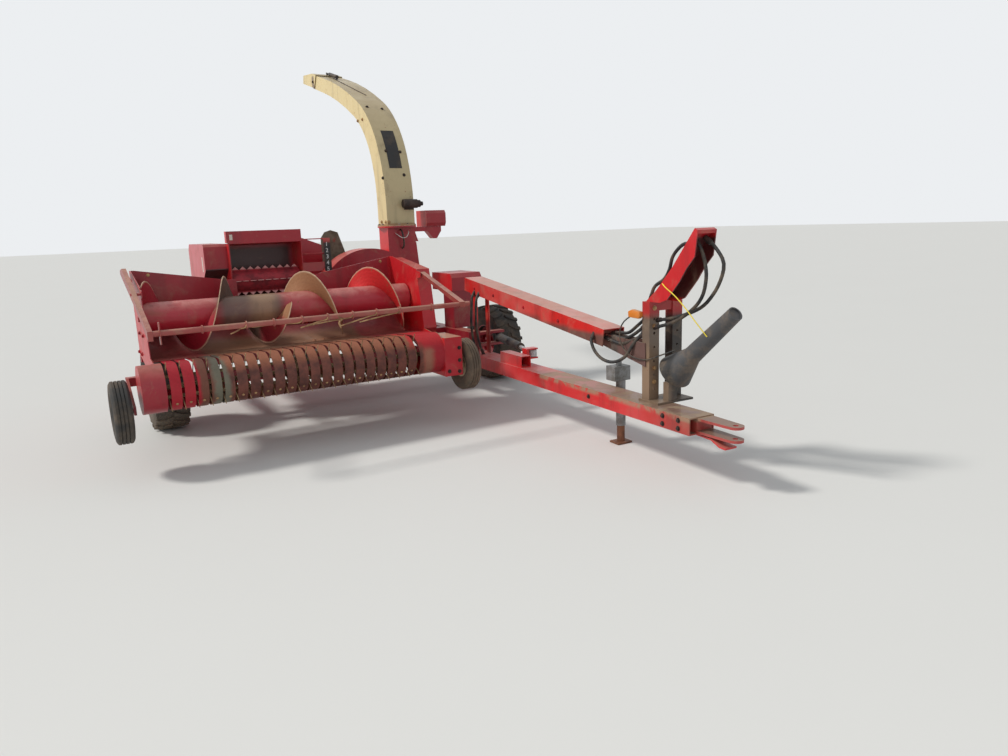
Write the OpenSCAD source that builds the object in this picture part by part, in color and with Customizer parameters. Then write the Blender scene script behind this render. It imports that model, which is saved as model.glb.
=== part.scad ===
// Pull-type forage harvester with a hay pickup head, parked on its wheels and jack.
// Millimetres. Forward is -Y, up is +Z, and the drawbar is on the +X side.
// Inside the modules X is measured from the middle of the feed throat, Y from the
// main axle and Z from the ground; seat() moves each piece to the part's own origin,
// which is on the ground under the middle of the machine's outer box.

/* [Main wheels] */
// Radius of a main tyre
tyre_r = 376; // [340:1:400]
// Width of a main tyre
tyre_w = 280; // [220:1:300]
// Radius of the rim that carries a main tyre
rim_r = 178; // [150:1:200]
// Left wheel, from the middle of the throat
wheel_left_x = 860; // [840:1:900]
// Right wheel, from the middle of the throat
wheel_right_x = 2300; // [2250:1:2400]
// Radius of a main wheel spindle
spindle_r = 25; // [20:1:30]

/* [Frame] */
// Side of the square tube of the main frame
frame_tube = 100; // [80:1:110]
// Side of the square axle tube
axle_tube = 90; // [80:1:100]
// Height of the top of the main frame
frame_top = 600; // [560:1:620]
// Rear end of the main frame, behind the axle
frame_rear_y = 1050; // [1000:1:1150]

/* [Feed throat] */
// Width inside the throat
throat_w = 580; // [540:1:600]
// Front edge of the throat's side plates
throat_front_y = -270; // [-290:1:-260]
// Rear of the feed housing
feed_rear_y = 300; // [280:1:320]
// Top of the throat's fascia
hood_top = 1583; // [1560:1:1600]
// Height of the throat's fascia
fascia_h = 92; // [80:1:110]
// Floor of the feed housing
feed_floor = 740; // [720:1:750]
// Sheet thickness of the feed housing
feed_wall = 8; // [5:1:10]
// Radius of the upper feed roll's drum
upper_roll_r = 88; // [80:1:90]
// Radius of the lower feed roll
lower_roll_r = 70; // [60:1:75]

/* [Header] */
// Outer face of the header's left end sheet
header_left = 1054; // [1040:1:1070]
// Outer face of the header's right end sheet
header_right = 1027; // [1010:1:1040]
// Thickness of the header's sheets
sheet = 5; // [4:1:7]
// Distance of the auger's axis ahead of the axle
auger_y = -719; // [-725:1:-715]
// Height of the auger's axis
auger_z = 989; // [985:1:995]
// Radius of the auger's tube
auger_tube_r = 113; // [105:1:120]
// Radius of the auger's flights
flight_r = 269; // [250:1:272]
// Length of one turn of a flight
flight_pitch = 540; // [520:1:560]
// Radius of the trough around the auger
trough_r = 296; // [290:1:300]
// Height of the rear sheet at its ends
rear_sheet_top = 1322; // [1300:1:1330]
// Height of the rear sheet beside the throat
rear_sheet_low = 1212; // [1190:1:1230]

/* [Pickup] */
// Distance of the pickup reel's axis ahead of the axle
reel_y = -1245; // [-1250:1:-1240]
// Height of the pickup reel's axis
reel_z = 574; // [570:1:580]
// Radius of the stripper bands
band_r = 160; // [155:1:165]
// Width of one stripper band
band_w = 67; // [60:1:69]
// Number of stripper bands
band_count = 21; // [19:1:21]
// Middle of the first band, left of the throat
band_left = 959; // [950:1:965]
// Spacing of the stripper bands
band_pitch = 85; // [84.5:0.5:86]
// Radius that the tine tips reach
tine_reach = 226; // [215:1:230]
// Radius of a tine
tine_r = 3; // [2.5:0.5:4]
// Radius of the circle on which the tine bars stand
bar_circle = 96; // [90:1:100]

/* [Gauge wheels] */
// Radius of a gauge wheel
gauge_r = 211; // [200:1:215]
// Width of a gauge wheel
gauge_w = 116; // [100:1:120]
// Radius of a gauge wheel's rim
gauge_rim_r = 102; // [95:1:110]
// Middle of the left gauge wheel from the throat
gauge_left_x = 1286; // [1280:1:1300]
// Middle of the right gauge wheel from the throat
gauge_right_x = 1276; // [1270:1:1290]
// Height of the gauge wheels' axis
gauge_z = 445; // [440:1:450]

/* [Drawbar] */
// Turn of the drawbar from straight ahead, in degrees
drawbar_yaw = 2.7; // [2.5:0.1:3]
// Height of the drawbar beam's section
beam_h = 106; // [95:1:110]
// Width of the drawbar beam's section
beam_w = 195; // [180:1:200]
// Wall of the drawbar beam
beam_wall = 8; // [6:1:10]
// Height of the drawbar beam's top face
beam_top = 415; // [405:1:425]
// Front end of the drawbar beam
beam_front_y = -3575; // [-3600:1:-3550]
// Swing pivot of the drawbar, right of the throat
pivot_x = 1722; // [1715:1:1730]
// Swing pivot of the drawbar, ahead of the axle
pivot_y = -560; // [-570:1:-550]
// Radius of the swing pivot's pin
pivot_r = 24; // [20:1:26]
// Radius of the hitch pin hole
hitch_r = 16.5; // [14:0.5:18]
// Distance of the hitch pin hole ahead of the beam
hitch_reach = 245; // [230:1:280]

/* [Spout] */
// Width of the spout's duct
spout_w = 286; // [270:1:300]
// Depth of the spout's duct at its foot
spout_d = 215; // [200:1:220]
// Depth of the spout's duct at its tip
spout_tip_d = 140; // [120:1:160]
// Wall of the spout
spout_wall = 4; // [3:1:6]
// Middle of the spout's turret, right of the throat
spout_x = 1410; // [1400:1:1420]
// Middle of the spout's turret, behind the axle
spout_y = 258; // [255:1:262]
// Height of the turret ring
turret_z = 1580; // [1560:1:1600]
// Height of the straight foot of the spout
spout_foot = 200; // [180:1:220]
// Length of the straight end of the spout
spout_run = 330; // [300:1:350]
// Reach of the deflector cap past the spout's mouth
cap_run = 325; // [300:1:350]
// Radius of the blower housing
blower_r = 530; // [500:1:535]
// Depth of the blower housing
blower_d = 215; // [200:1:220]

/* [Hidden] */
$fn = 64;

run_fit = 0.05;
seat_gap = 0.3;

// Spout: the middle line leaves the turret upright and bends back in three arcs.
// Each row: radius of the arc, angle from upright where it ends, number of steps
spout_arcs = [[1300, 20, 4], [950, 62, 8], [4500, 74, 4]];
cap_boss_r = 13;
cap_ahead = 16;
cap_sink = 6;
cap_deep = 124;

// Point after an arc that starts at p and turns from angle a to angle b
function arc_end(p, r, a, b) = p + r * [cos(a) - cos(b), sin(b) - sin(a)];

function arc_starts(i = 0, p = [spout_y, turret_z + spout_foot], a = 0) =
    i == len(spout_arcs) ? [[p, a]]
        : concat([[p, a]], arc_starts(i + 1, arc_end(p, spout_arcs[i][0], a, spout_arcs[i][1]), spout_arcs[i][1]));

starts = arc_starts();
last_start = starts[len(spout_arcs)];
spout_tip = last_start[0] + spout_run * [sin(last_start[1]), cos(last_start[1])];
spout_ahead = [sin(last_start[1]), cos(last_start[1])];
spout_up = [-cos(last_start[1]), sin(last_start[1])];
cap_hinge = spout_tip + cap_ahead * spout_ahead + (spout_tip_d / 2 - cap_sink) * spout_up;
cap_end = cap_hinge + (cap_run - cap_ahead) * spout_ahead - cap_deep * spout_up;

// Where the machine's outer box ends, measured from the throat and the axle
left_reach = -gauge_left_x - gauge_w / 2;
right_reach = wheel_right_x + tyre_w / 2;
hitch_tip_r = 48;
hitch_x = 45;
front_reach = pivot_y - (pivot_y - beam_front_y + hitch_reach) * cos(drawbar_yaw)
    - hitch_x * sin(drawbar_yaw) - hitch_tip_r;
rear_reach = cap_end[0];
mid_x = (left_reach + right_reach) / 2;
mid_y = (front_reach + rear_reach) / 2;

// Moves a piece from the throat and axle to the part's origin
module seat() {
    translate([-mid_x, -mid_y, 0]) children();
}

// Seats a piece of the drawbar, which is drawn straight ahead of its pivot
module on_drawbar() {
    seat() translate([pivot_x, pivot_y, 0]) rotate([0, 0, -drawbar_yaw]) children();
}

// A block between two opposite corners
module block(low, high) {
    translate(low) cube(high - low);
}

// An outline in Y and Z, made solid from x0 to x1
module along_x(x0, x1) {
    translate([x0, 0, 0]) rotate([90, 0, 90]) linear_extrude(x1 - x0) children();
}

// An outline in X and Z, made solid from y0 to y1
module along_y(y0, y1) {
    translate([0, y1, 0]) rotate([90, 0, 0]) linear_extrude(y1 - y0) children();
}

// A round bar or hole along X
module bar_x(x0, x1, y, z, r) {
    translate([x0, y, z]) rotate([0, 90, 0]) cylinder(r = r, h = x1 - x0);
}

// A round bar or hole along Y
module bar_y(y0, y1, x, z, r) {
    translate([x, y1, z]) rotate([90, 0, 0]) cylinder(r = r, h = y1 - y0);
}

// A revolved shape whose axis runs along X through a point
module turned_x(x, y, z) {
    translate([x, y, z]) rotate([0, 90, 0]) rotate_extrude($fn = 96) children();
}

// Main wheels
module tyre_outline(r, w, bead, grooves, groove_d) {
    h = r - bead;
    difference() {
        polygon([
            [bead, -0.36 * w], [bead + 0.10 * h, -0.41 * w], [bead + 0.30 * h, -0.48 * w],
            [bead + 0.50 * h, -0.5 * w], [bead + 0.72 * h, -0.485 * w], [bead + 0.88 * h, -0.44 * w],
            [r - 0.03 * h, -0.38 * w], [r, -0.25 * w], [r, 0.25 * w], [r - 0.03 * h, 0.38 * w],
            [bead + 0.88 * h, 0.44 * w], [bead + 0.72 * h, 0.485 * w], [bead + 0.50 * h, 0.5 * w],
            [bead + 0.30 * h, 0.48 * w], [bead + 0.10 * h, 0.41 * w], [bead, 0.36 * w]
        ]);
        for (i = [0 : grooves - 1])
            translate([r - groove_d, (i - (grooves - 1) / 2) * 0.66 * w / grooves - 0.025 * w])
                square([2 * groove_d, 0.05 * w]);
    }
}

module wheel_tyre(x) {
    color([0.10, 0.10, 0.10]) seat() turned_x(x, 0, tyre_r) tyre_outline(tyre_r, tyre_w, rim_r, 4, 11);
}

// side is -1 for the left wheel and 1 for the right one
module wheel_rim(x, side) {
    hub_r = 52;
    hub_in = 70;
    hub_out = 60;
    dish_x = 25;
    color([0.62, 0.08, 0.09]) seat() translate([x, 0, tyre_r]) rotate([0, 90, 0]) difference() {
        union() {
            rotate_extrude($fn = 96) polygon([
                [rim_r - 8, -0.36 * tyre_w], [rim_r - 0.5, -0.36 * tyre_w], [rim_r - 0.5, 0.36 * tyre_w],
                [rim_r - 8, 0.36 * tyre_w], [rim_r - 8, 0.22 * tyre_w], [rim_r - 30, 0.14 * tyre_w],
                [rim_r - 30, -0.14 * tyre_w], [rim_r - 8, -0.22 * tyre_w]
            ]);
            rotate_extrude($fn = 96) mirror([0, side < 0 ? 1 : 0]) polygon([
                [spindle_r + run_fit, -hub_in], [hub_r, -hub_in], [hub_r, dish_x - 8],
                [hub_r + 45, dish_x - 8], [rim_r - 29, -12], [rim_r - 29, -2],
                [hub_r + 45, dish_x + 2], [hub_r, dish_x + 2], [hub_r - 8, hub_out], [0, hub_out],
                [0, hub_out - 8], [spindle_r + run_fit, hub_out - 8]
            ]);
        }
        for (a = [0 : 60 : 300])
            rotate(a) translate([hub_r + 62, 0, -100]) cylinder(r = 14, h = 200);
    }
}

// Axle: a square tube under the frame, with a stub and a spindle at each end
module axle() {
    half = axle_tube / 2;
    left_end = -wheel_left_x + tyre_w / 2 + 20;
    right_end = wheel_right_x - tyre_w / 2 - 20;
    color([0.42, 0.06, 0.07]) seat() {
        block([left_end, -half, tyre_r - half], [right_end, half, tyre_r + half]);
        bar_x(-wheel_left_x - 50, left_end, 0, tyre_r, spindle_r);
        bar_x(right_end, wheel_right_x + 50, 0, tyre_r, spindle_r);
        for (x = [rail_left, rail_mid, rail_right])
            block([x - 40, -half, tyre_r + half], [x + 40, half, frame_top - frame_tube]);
    }
}

// Main frame
rail_left = -560;
rail_mid = 425;
rail_right = 1730;
front_cross_y = -150;

module frame_rail(x, y0, y1) {
    block([x - frame_tube / 2, y0, frame_top - frame_tube], [x + frame_tube / 2, y1, frame_top]);
}

module main_frame() {
    clevis_w = 130;
    clevis_top = beam_top + 56;
    clevis_low = beam_top - beam_h - 40;
    color([0.60, 0.07, 0.09]) seat() difference() {
        union() {
            for (x = [rail_left, rail_mid, rail_right])
                frame_rail(x, front_cross_y, frame_rear_y);
            for (y = [front_cross_y, frame_rear_y - frame_tube])
                block([rail_left - frame_tube / 2, y, frame_top - frame_tube],
                    [rail_right + frame_tube / 2, y + frame_tube, frame_top]);
            // neck that reaches forward over the drawbar's pivot
            block([rail_right - 60, pivot_y - 70, clevis_top + 2], [rail_right + 60, front_cross_y + 10, frame_top]);
            block([rail_right - clevis_w / 2, pivot_y - 70, clevis_top - 26],
                [rail_right + clevis_w / 2, front_cross_y + 60, clevis_top + 2]);
            block([rail_right - clevis_w / 2, pivot_y - 70, clevis_low - 24],
                [rail_right + clevis_w / 2, front_cross_y + 60, clevis_low]);
            block([rail_right - clevis_w / 2, front_cross_y, clevis_low - 1],
                [rail_right + clevis_w / 2, front_cross_y + 60, frame_top]);
            // anchor of the swing cylinder
            for (z = [swing_z - swing_gap - plate_t, swing_z + swing_gap])
                block([rail_right + frame_tube / 2 + 5, swing_anchor[1] - 40, z],
                    [swing_anchor[0] + 40, swing_anchor[1] + 40, z + plate_t]);
            translate([swing_anchor[0], swing_anchor[1], swing_z - swing_gap - plate_t])
                cylinder(r = pin_r, h = 2 * (swing_gap + plate_t));
            block([rail_right + frame_tube / 2 + 5, swing_anchor[1] - 40, swing_z - swing_gap - plate_t],
                [rail_right + frame_tube / 2 + 60, front_cross_y + frame_tube, swing_z + swing_gap + plate_t]);
            // hinge cheeks and pins for the header
            for (s = [-1, 1]) {
                along_x(s * cheek_x - 8, s * cheek_x + 8) polygon([
                    [hinge_y - 34, hinge_z - 30], [hinge_y - 34, hinge_z + 34], [hinge_y + 40, hinge_z + 60],
                    [front_cross_y + 20, hinge_z + 60], [front_cross_y + 20, frame_top - frame_tube],
                    [front_cross_y - 30, frame_top - frame_tube]
                ]);
                bar_x(s > 0 ? cheek_x : -cheek_x - 58, s > 0 ? cheek_x + 58 : -cheek_x, hinge_y, hinge_z, pin_r);
            }
            // anchor of the lift cylinder
            for (s = [-1, 1])
                along_x(lift_x + s * (lift_gap + 8) - 8, lift_x + s * (lift_gap + 8) + 8) polygon([
                    [lift_anchor[0] - 30, lift_anchor[1] - 30], [lift_anchor[0] + 40, lift_anchor[1] - 30],
                    [front_cross_y + frame_tube, frame_top - frame_tube + 1],
                    [front_cross_y, frame_top - frame_tube + 1], [lift_anchor[0] - 30, lift_anchor[1] + 30]
                ]);
            bar_x(lift_x - lift_gap - 16, lift_x + lift_gap + 16, lift_anchor[0], lift_anchor[1], pin_r);
            // rear hitch for the wagon
            block([rail_mid + 40, frame_rear_y - 1, frame_top - 90], [rail_mid + 160, frame_rear_y + 140, frame_top - 66]);
            block([rail_mid + 40, frame_rear_y - 1, frame_top - 26], [rail_mid + 160, frame_rear_y + 140, frame_top - 2]);
        }
        translate([pivot_x, pivot_y, clevis_low - 100]) cylinder(r = pivot_r + run_fit, h = 500);
        translate([rail_mid + 100, frame_rear_y + 90, frame_top - 120]) cylinder(r = hitch_r, h = 200);
    }
}

// Header hinge and cylinders
hinge_y = -250;
hinge_z = 640;
cheek_x = 322;
pin_r = 16;
lift_x = 250;
lift_anchor = [-150, 400];
lift_gap = 36;
swing_gap = 44;
plate_t = 24;
lift_eye = [-640, 645];
swing_z = 500;
swing_anchor = [2080, -480];
swing_eye_rel = [130, -900];
swing_eye = [
    pivot_x + swing_eye_rel[0] * cos(drawbar_yaw) + swing_eye_rel[1] * sin(drawbar_yaw),
    pivot_y - swing_eye_rel[0] * sin(drawbar_yaw) + swing_eye_rel[1] * cos(drawbar_yaw)
];
eye_play = 6;

// Draws a cylinder's piece along the line from its anchor to its rod's eye, as local +X
module along_swing() {
    d = swing_eye - swing_anchor;
    seat() translate([swing_anchor[0], swing_anchor[1], swing_z]) rotate([0, 0, atan2(d[1], d[0])]) children();
}

module along_lift() {
    d = lift_eye - lift_anchor;
    seat() translate([lift_x, lift_anchor[0], lift_anchor[1]])
        rotate([-atan2(d[1], -d[0]), 0, 0]) rotate([0, 0, -90]) children();
}

// boss is the width of the eye on the barrel's pin
module ram_barrel(length, r, rod, boss) {
    difference() {
        union() {
            translate([0, 0, -boss / 2]) cylinder(r = 34, h = boss);
            translate([20, 0, 0]) rotate([0, 90, 0]) cylinder(r = r, h = length - 20);
        }
        translate([0, 0, -boss]) cylinder(r = pin_r + run_fit, h = 2 * boss);
        translate([60, 0, 0]) rotate([0, 90, 0]) cylinder(r = rod + run_fit, h = length);
    }
}

module ram_rod(start, length, rod) {
    difference() {
        union() {
            translate([length, 0, -26]) cylinder(r = pin_r + eye_play + 16, h = 52);
            translate([start, 0, 0]) rotate([0, 90, 0]) cylinder(r = rod, h = length - start - 20);
        }
        translate([length, 0, -40]) cylinder(r = pin_r + eye_play, h = 80);
    }
}

swing_length = norm(swing_eye - swing_anchor);
lift_length = norm(lift_eye - lift_anchor);

module swing_barrel() {
    color([0.12, 0.12, 0.13]) along_swing() ram_barrel(700, 38, 18, 2 * swing_gap - 2 * seat_gap);
}

module swing_rod() {
    color([0.75, 0.76, 0.78]) along_swing() ram_rod(240, swing_length, 18);
}

module lift_barrel() {
    color([0.12, 0.12, 0.13]) along_lift() rotate([90, 0, 0]) ram_barrel(410, 34, 16, 2 * lift_gap - 2 * seat_gap);
}

module lift_rod() {
    color([0.75, 0.76, 0.78]) along_lift() rotate([90, 0, 0]) ram_rod(120, lift_length, 16);
}

// Feed housing: two side plates, floor, fascia and a sloping hood, open in front
module feed_housing() {
    half = throat_w / 2;
    color([0.62, 0.05, 0.10]) seat() difference() {
        union() {
            for (s = [-1, 1])
                along_x(s > 0 ? half : -half - feed_wall, s > 0 ? half + feed_wall : -half) polygon([
                    [throat_front_y, feed_floor - 20], [throat_front_y, opening_top], [feed_rear_y, opening_top - hood_fall],
                    [feed_rear_y, frame_top], [front_cross_y, frame_top], [front_cross_y - 60, feed_floor - 60]
                ]);
            // floor
            block([-half, throat_front_y + 20, feed_floor - feed_wall], [half, feed_rear_y, feed_floor]);
            // fascia, folded to a box that is open behind
            difference() {
                block([-half - feed_wall - 11, throat_front_y, opening_top],
                    [half + feed_wall, throat_front_y + fascia_d, hood_top]);
                block([-half, throat_front_y + feed_wall, opening_top + feed_wall],
                    [half, throat_front_y + fascia_d + 1, hood_top - feed_wall]);
            }
            // hood, and the wall behind the upper roll
            along_x(-half, half) polygon([
                [throat_front_y, opening_top - feed_wall], [throat_front_y, opening_top],
                [feed_rear_y, opening_top - hood_fall], [feed_rear_y, opening_top - hood_fall - feed_wall]
            ]);
            block([-half, 10, 1060], [half, 10 + feed_wall, opening_top - hood_fall / 2]);
        }
        for (roll = [upper_roll, lower_roll])
            bar_x(-half - 50, half + 50, roll[0], roll[1], 22 + run_fit);
    }
}

opening_top = hood_top - fascia_h;
hood_fall = 40;
fascia_d = 60;

// Feed rolls: Y and Z of their axes
upper_roll = [-150, 1175];
lower_roll = [-150, 860];

module saw_bar(length, teeth, tooth_h, base_h) {
    pitch = length / teeth;
    linear_extrude(6) polygon(concat(
        [[0, 0]],
        [for (i = [0 : teeth - 1]) each [[i * pitch, base_h], [(i + 0.5) * pitch, base_h + tooth_h]]],
        [[length, base_h], [length, 0]]
    ));
}

module feed_roll_upper() {
    bars = 5;
    length = throat_w - 24;
    color([0.60, 0.06, 0.10]) seat() translate([0, upper_roll[0], upper_roll[1]]) {
        bar_x(-throat_w / 2 - feed_wall, throat_w / 2 + feed_wall, 0, 0, 22);
        bar_x(-length / 2, length / 2, 0, 0, upper_roll_r);
        for (i = [0 : bars - 1])
            rotate([i * 360 / bars + 15, 0, 0]) translate([2 - length / 2, 3, upper_roll_r - 4])
                rotate([90, 0, 0]) saw_bar(length - 4, 9, 30, 10);
    }
}

module feed_roll_lower() {
    length = throat_w - 24;
    color([0.42, 0.30, 0.26]) seat() translate([0, lower_roll[0], lower_roll[1]]) {
        bar_x(-throat_w / 2 - feed_wall, throat_w / 2 + feed_wall, 0, 0, 22);
        bar_x(-length / 2, length / 2, 0, 0, lower_roll_r - 10);
        for (a = [0 : 45 : 315])
            rotate([a, 0, 0]) block([-length / 2, -4, lower_roll_r - 14], [length / 2, 4, lower_roll_r]);
    }
}

// Cutter housing: two side plates and a rolled shell around the drum
cutter_axis = [635, 960];
cutter_shell_r = 330;
drum_r = 240;
drum_wall = 20;
drum_shaft_r = 35;
shell_wall = 5;

// t is the distance that the outline is drawn in from the outside
module cutter_outline(t) {
    translate(cutter_axis) circle(r = cutter_shell_r - t, $fn = 96);
    translate([feed_rear_y + seat_gap + t, frame_top + t])
        square([frame_rear_y - frame_tube - 20 - feed_rear_y - seat_gap - 2 * t, cutter_axis[1] - frame_top - t]);
}

module cutter_housing() {
    half = throat_w / 2 + feed_wall;
    color([0.60, 0.07, 0.09]) seat() difference() {
        along_x(-half, half) cutter_outline(0);
        along_x(-half + 8, half - 8) cutter_outline(shell_wall);
        bar_x(-half - 1, half + 1, cutter_axis[0], cutter_axis[1], drum_shaft_r + run_fit);
    }
}

module cutter_drum() {
    half = throat_w / 2 + feed_wall;
    color([0.35, 0.35, 0.36]) seat() {
        difference() {
            bar_x(-throat_w / 2 + 8, throat_w / 2 - 8, cutter_axis[0], cutter_axis[1], drum_r);
            bar_x(-throat_w / 2 + 8 + drum_wall, throat_w / 2 - 8 - drum_wall, cutter_axis[0], cutter_axis[1],
                drum_r - drum_wall);
        }
        bar_x(-half, half, cutter_axis[0], cutter_axis[1], drum_shaft_r);
    }
}

// Cross conveyor that carries the crop to the blower
conveyor_top = 1270;

module conveyor_outline(t) {
    polygon([
        [430 + 0.4 * t, frame_top + t], [810 - t, frame_top + t], [810 - t, 1080 - 0.3 * t],
        [700 - 0.6 * t, conveyor_top - t], [430 + 0.5 * t, conveyor_top - t], [370 + t, 1190 - 0.4 * t],
        [370 + t, 700 + 0.3 * t]
    ]);
}

module cross_conveyor() {
    x0 = throat_w / 2 + feed_wall + seat_gap;
    x1 = spout_x - 290;
    color([0.60, 0.07, 0.09]) seat() difference() {
        along_x(x0, x1) conveyor_outline(0);
        along_x(x0 + shell_wall, x1 - shell_wall) conveyor_outline(shell_wall);
    }
}

// Blower: a round casing with its outlet on the right, which carries the spout's tower
blower_x = spout_x + spout_w / 2 - blower_r + 45;
blower_z = 850;
blower_y0 = spout_y - blower_d / 2;

module blower_outline(r) {
    translate([blower_x, blower_z]) circle(r = r, $fn = 96);
    polygon([
        [spout_x - spout_w / 2 + (blower_r - r), blower_z], [spout_x - spout_w / 2 + (blower_r - r), 1420],
        [spout_x + spout_w / 2 + 5 - (blower_r - r), 1420], [blower_x + r, blower_z + 120], [blower_x + r, blower_z]
    ]);
}

module blower_housing() {
    color([0.62, 0.06, 0.09]) seat() difference() {
        union() {
            along_y(blower_y0, blower_y0 + blower_d) blower_outline(blower_r);
            block([rail_mid + frame_tube / 2 + seat_gap, blower_y0 + 20, frame_top - 90], [blower_x - 430, blower_y0 + 90, frame_top - 20]);
            block([blower_x + 430, blower_y0 + 20, frame_top - 90], [rail_right - frame_tube / 2 - seat_gap, blower_y0 + 90, frame_top - 20]);
        }
        along_y(blower_y0 + 6, blower_y0 + blower_d - 6) blower_outline(blower_r - 6);
        translate([spout_x - spout_w / 2 + 6, blower_y0 + 6, 1400]) cube([spout_w - 12, blower_d - 12, 60]);
        bar_y(blower_y0 - 1, blower_y0 + blower_d + 1, blower_x, blower_z, drum_shaft_r + run_fit);
    }
}

module blower_rotor() {
    // a disc against the rear wall with six paddles in front of it
    disc_y = blower_y0 + blower_d - 40;
    color([0.30, 0.30, 0.31]) seat() {
        bar_y(disc_y, disc_y + 12, blower_x, blower_z, blower_r - 60);
        bar_y(blower_y0, blower_y0 + blower_d, blower_x, blower_z, drum_shaft_r);
        bar_y(blower_y0 + 30, disc_y + 1, blower_x, blower_z, 90);
        for (a = [0 : 60 : 300])
            translate([blower_x, 0, blower_z]) rotate([0, a, 0])
                block([80, blower_y0 + 18, -5], [blower_r - 40, disc_y + 1, 5]);
    }
}

// Tower under the turret ring
module spout_tower() {
    w = spout_w;
    d = blower_d;
    color([0.62, 0.06, 0.09]) seat() difference() {
        union() {
            block([spout_x - w / 2, spout_y - d / 2, 1420 + seat_gap], [spout_x + w / 2, spout_y + d / 2, turret_z]);
            translate([spout_x, spout_y, turret_z - 14]) cylinder(r = 186, h = 14);
            // side brace
            along_y(spout_y - 8, spout_y + 8) polygon([
                [spout_x + w / 2 - 1, 1425], [spout_x + w / 2 + 75, 1425], [spout_x + w / 2 + 40, 1530],
                [spout_x + w / 2 - 1, 1560]
            ]);
            // bracket of the turning gear
            along_y(spout_y - 60, spout_y + 20) polygon([
                [spout_x + w / 2 - 1, turret_z - 60], [spout_x + 300, turret_z - 60], [spout_x + 360, turret_z - 133],
                [spout_x + 400, turret_z - 133], [spout_x + 450, turret_z - 60], [spout_x + 450, turret_z - 15],
                [spout_x + w / 2 - 1, turret_z - 15]
            ]);
        }
        block([spout_x - w / 2 + 6, spout_y - d / 2 + 6, 1400], [spout_x + w / 2 - 6, spout_y + d / 2 - 6, turret_z + 10]);
    }
}

module spout_motor_box() {
    x0 = spout_x + 280;
    x1 = x0 + 210;
    color([0.66, 0.06, 0.10]) seat() difference() {
        along_x(x0, x1) motor_box_outline(0);
        along_x(x0 + shell_wall, x1 - shell_wall) motor_box_outline(shell_wall);
    }
}

module motor_box_outline(t) {
    polygon([
        [spout_y - 75, turret_z - 15 + seat_gap + t], [spout_y + 140 - t, turret_z - 15 + seat_gap + t],
        [spout_y + 140 - t, turret_z + 140 - t], [spout_y - 75 + 0.4 * t, turret_z + 140 - t],
        [spout_y - 95 + t, turret_z + 110], [spout_y - 95 + t, turret_z + 20]
    ]);
}

// Rows of point, angle along the middle line
spout_line = concat(
    [[[spout_y, turret_z + seat_gap], 0]],
    [for (i = [0 : len(spout_arcs) - 1], k = [0 : spout_arcs[i][2] - 1])
        let(a = starts[i][1] + (spout_arcs[i][1] - starts[i][1]) * k / spout_arcs[i][2])
            [arc_end(starts[i][0], spout_arcs[i][0], starts[i][1], a), a]],
    [last_start, [spout_tip, last_start[1]]]
);
spout_steps = len(spout_line) - 1;

function spout_depth(i) = spout_d + (spout_tip_d - spout_d) * max(0, i - 1) / (spout_steps - 1);

function spout_side(inset, sign, row, depth) =
    row[0] + sign * (depth / 2 - inset) * [-cos(row[1]), sin(row[1])];

module spout_outline(inset, extend) {
    front = [for (i = [0 : spout_steps]) spout_side(inset, 1, spout_line[i], spout_depth(i))];
    back = [for (i = [spout_steps : -1 : 0]) spout_side(inset, -1, spout_line[i], spout_depth(i))];
    lead = extend * [sin(last_start[1]), cos(last_start[1])];
    foot = [0, -extend];
    polygon(concat([front[0] + foot], front, [front[spout_steps] + lead, back[0] + lead], back, [back[spout_steps] + foot]));
}

module spout() {
    color([0.87, 0.80, 0.58]) seat() difference() {
        union() {
            along_x(spout_x - spout_w / 2, spout_x + spout_w / 2) spout_outline(0, 0);
            translate([spout_x, spout_y, turret_z + seat_gap]) cylinder(r = 186, h = 12);
            // lugs and pin of the cap's hinge
            translate([spout_x, cap_hinge[0], cap_hinge[1]]) rotate([90 - last_start[1], 0, 0]) {
                for (s = [-1, 1]) {
                    block([s * 69 - 7, -30, -10], [s * 69 + 7, 0, 8]);
                    bar_x(s * 69 - 7, s * 69 + 7, 0, 0, 10);
                }
                bar_x(-76, 76, 0, 0, 8);
            }
        }
        along_x(spout_x - spout_w / 2 + spout_wall, spout_x + spout_w / 2 - spout_wall) spout_outline(spout_wall, 20);
    }
}

// Deflector cap: a flap hinged at the top of the spout's mouth, with side flanges
module spout_cap() {
    half = spout_w / 2 + 10;
    tip = cap_run - cap_ahead;
    color([0.87, 0.80, 0.58]) seat() translate([0, cap_hinge[0], cap_hinge[1]])
        rotate([90 - last_start[1], 0, 0]) difference() {
            union() {
                difference() {
                    along_x(spout_x - half, spout_x + half) polygon([
                        [-114, 12.5], [-114, 18], [10, 18], [tip, -37], [tip, -cap_deep], [-74, -cap_deep]
                    ]);
                    along_x(spout_x - half + spout_wall, spout_x + half - spout_wall) polygon([
                        [-120, -200], [-120, 12.5], [9, 12.5], [tip + 1, -43], [tip + 1, -200]
                    ]);
                }
                bar_x(spout_x - 60, spout_x + 60, 0, 0, cap_boss_r);
            }
            bar_x(spout_x - 80, spout_x + 80, 0, 0, 8 + run_fit);
        }
}

// Shields and small housings on the base machine
gearbox_top = 955;

module drive_shield_left() {
    x0 = -throat_w / 2 - feed_wall - 182;
    x1 = -throat_w / 2 - feed_wall - seat_gap;
    color([0.60, 0.06, 0.09]) seat() difference() {
        along_x(x0, x1) drive_shield_outline(0);
        along_x(x0 + shell_wall, x1 + 1) drive_shield_outline(shell_wall);
    }
}

// Side of the left drive shield, whose front slants down to the rear below the header's sheet
module drive_shield_outline(t) {
    polygon([
        [-200 + t, 1280 + 0.6 * t], [-200 + t, 1465 - 0.4 * t], [-180 + 0.4 * t, 1485 - t], [430 - 0.4 * t, 1485 - t],
        [480 - t, 1435 - 0.4 * t], [480 - t, 720 + 0.4 * t], [430 - 0.4 * t, 670 + t], [60 + 0.5 * t, 670 + t],
        [20 + t, 720 + 0.3 * t], [-60 + t, 1180 + 0.6 * t]
    ]);
}

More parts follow.
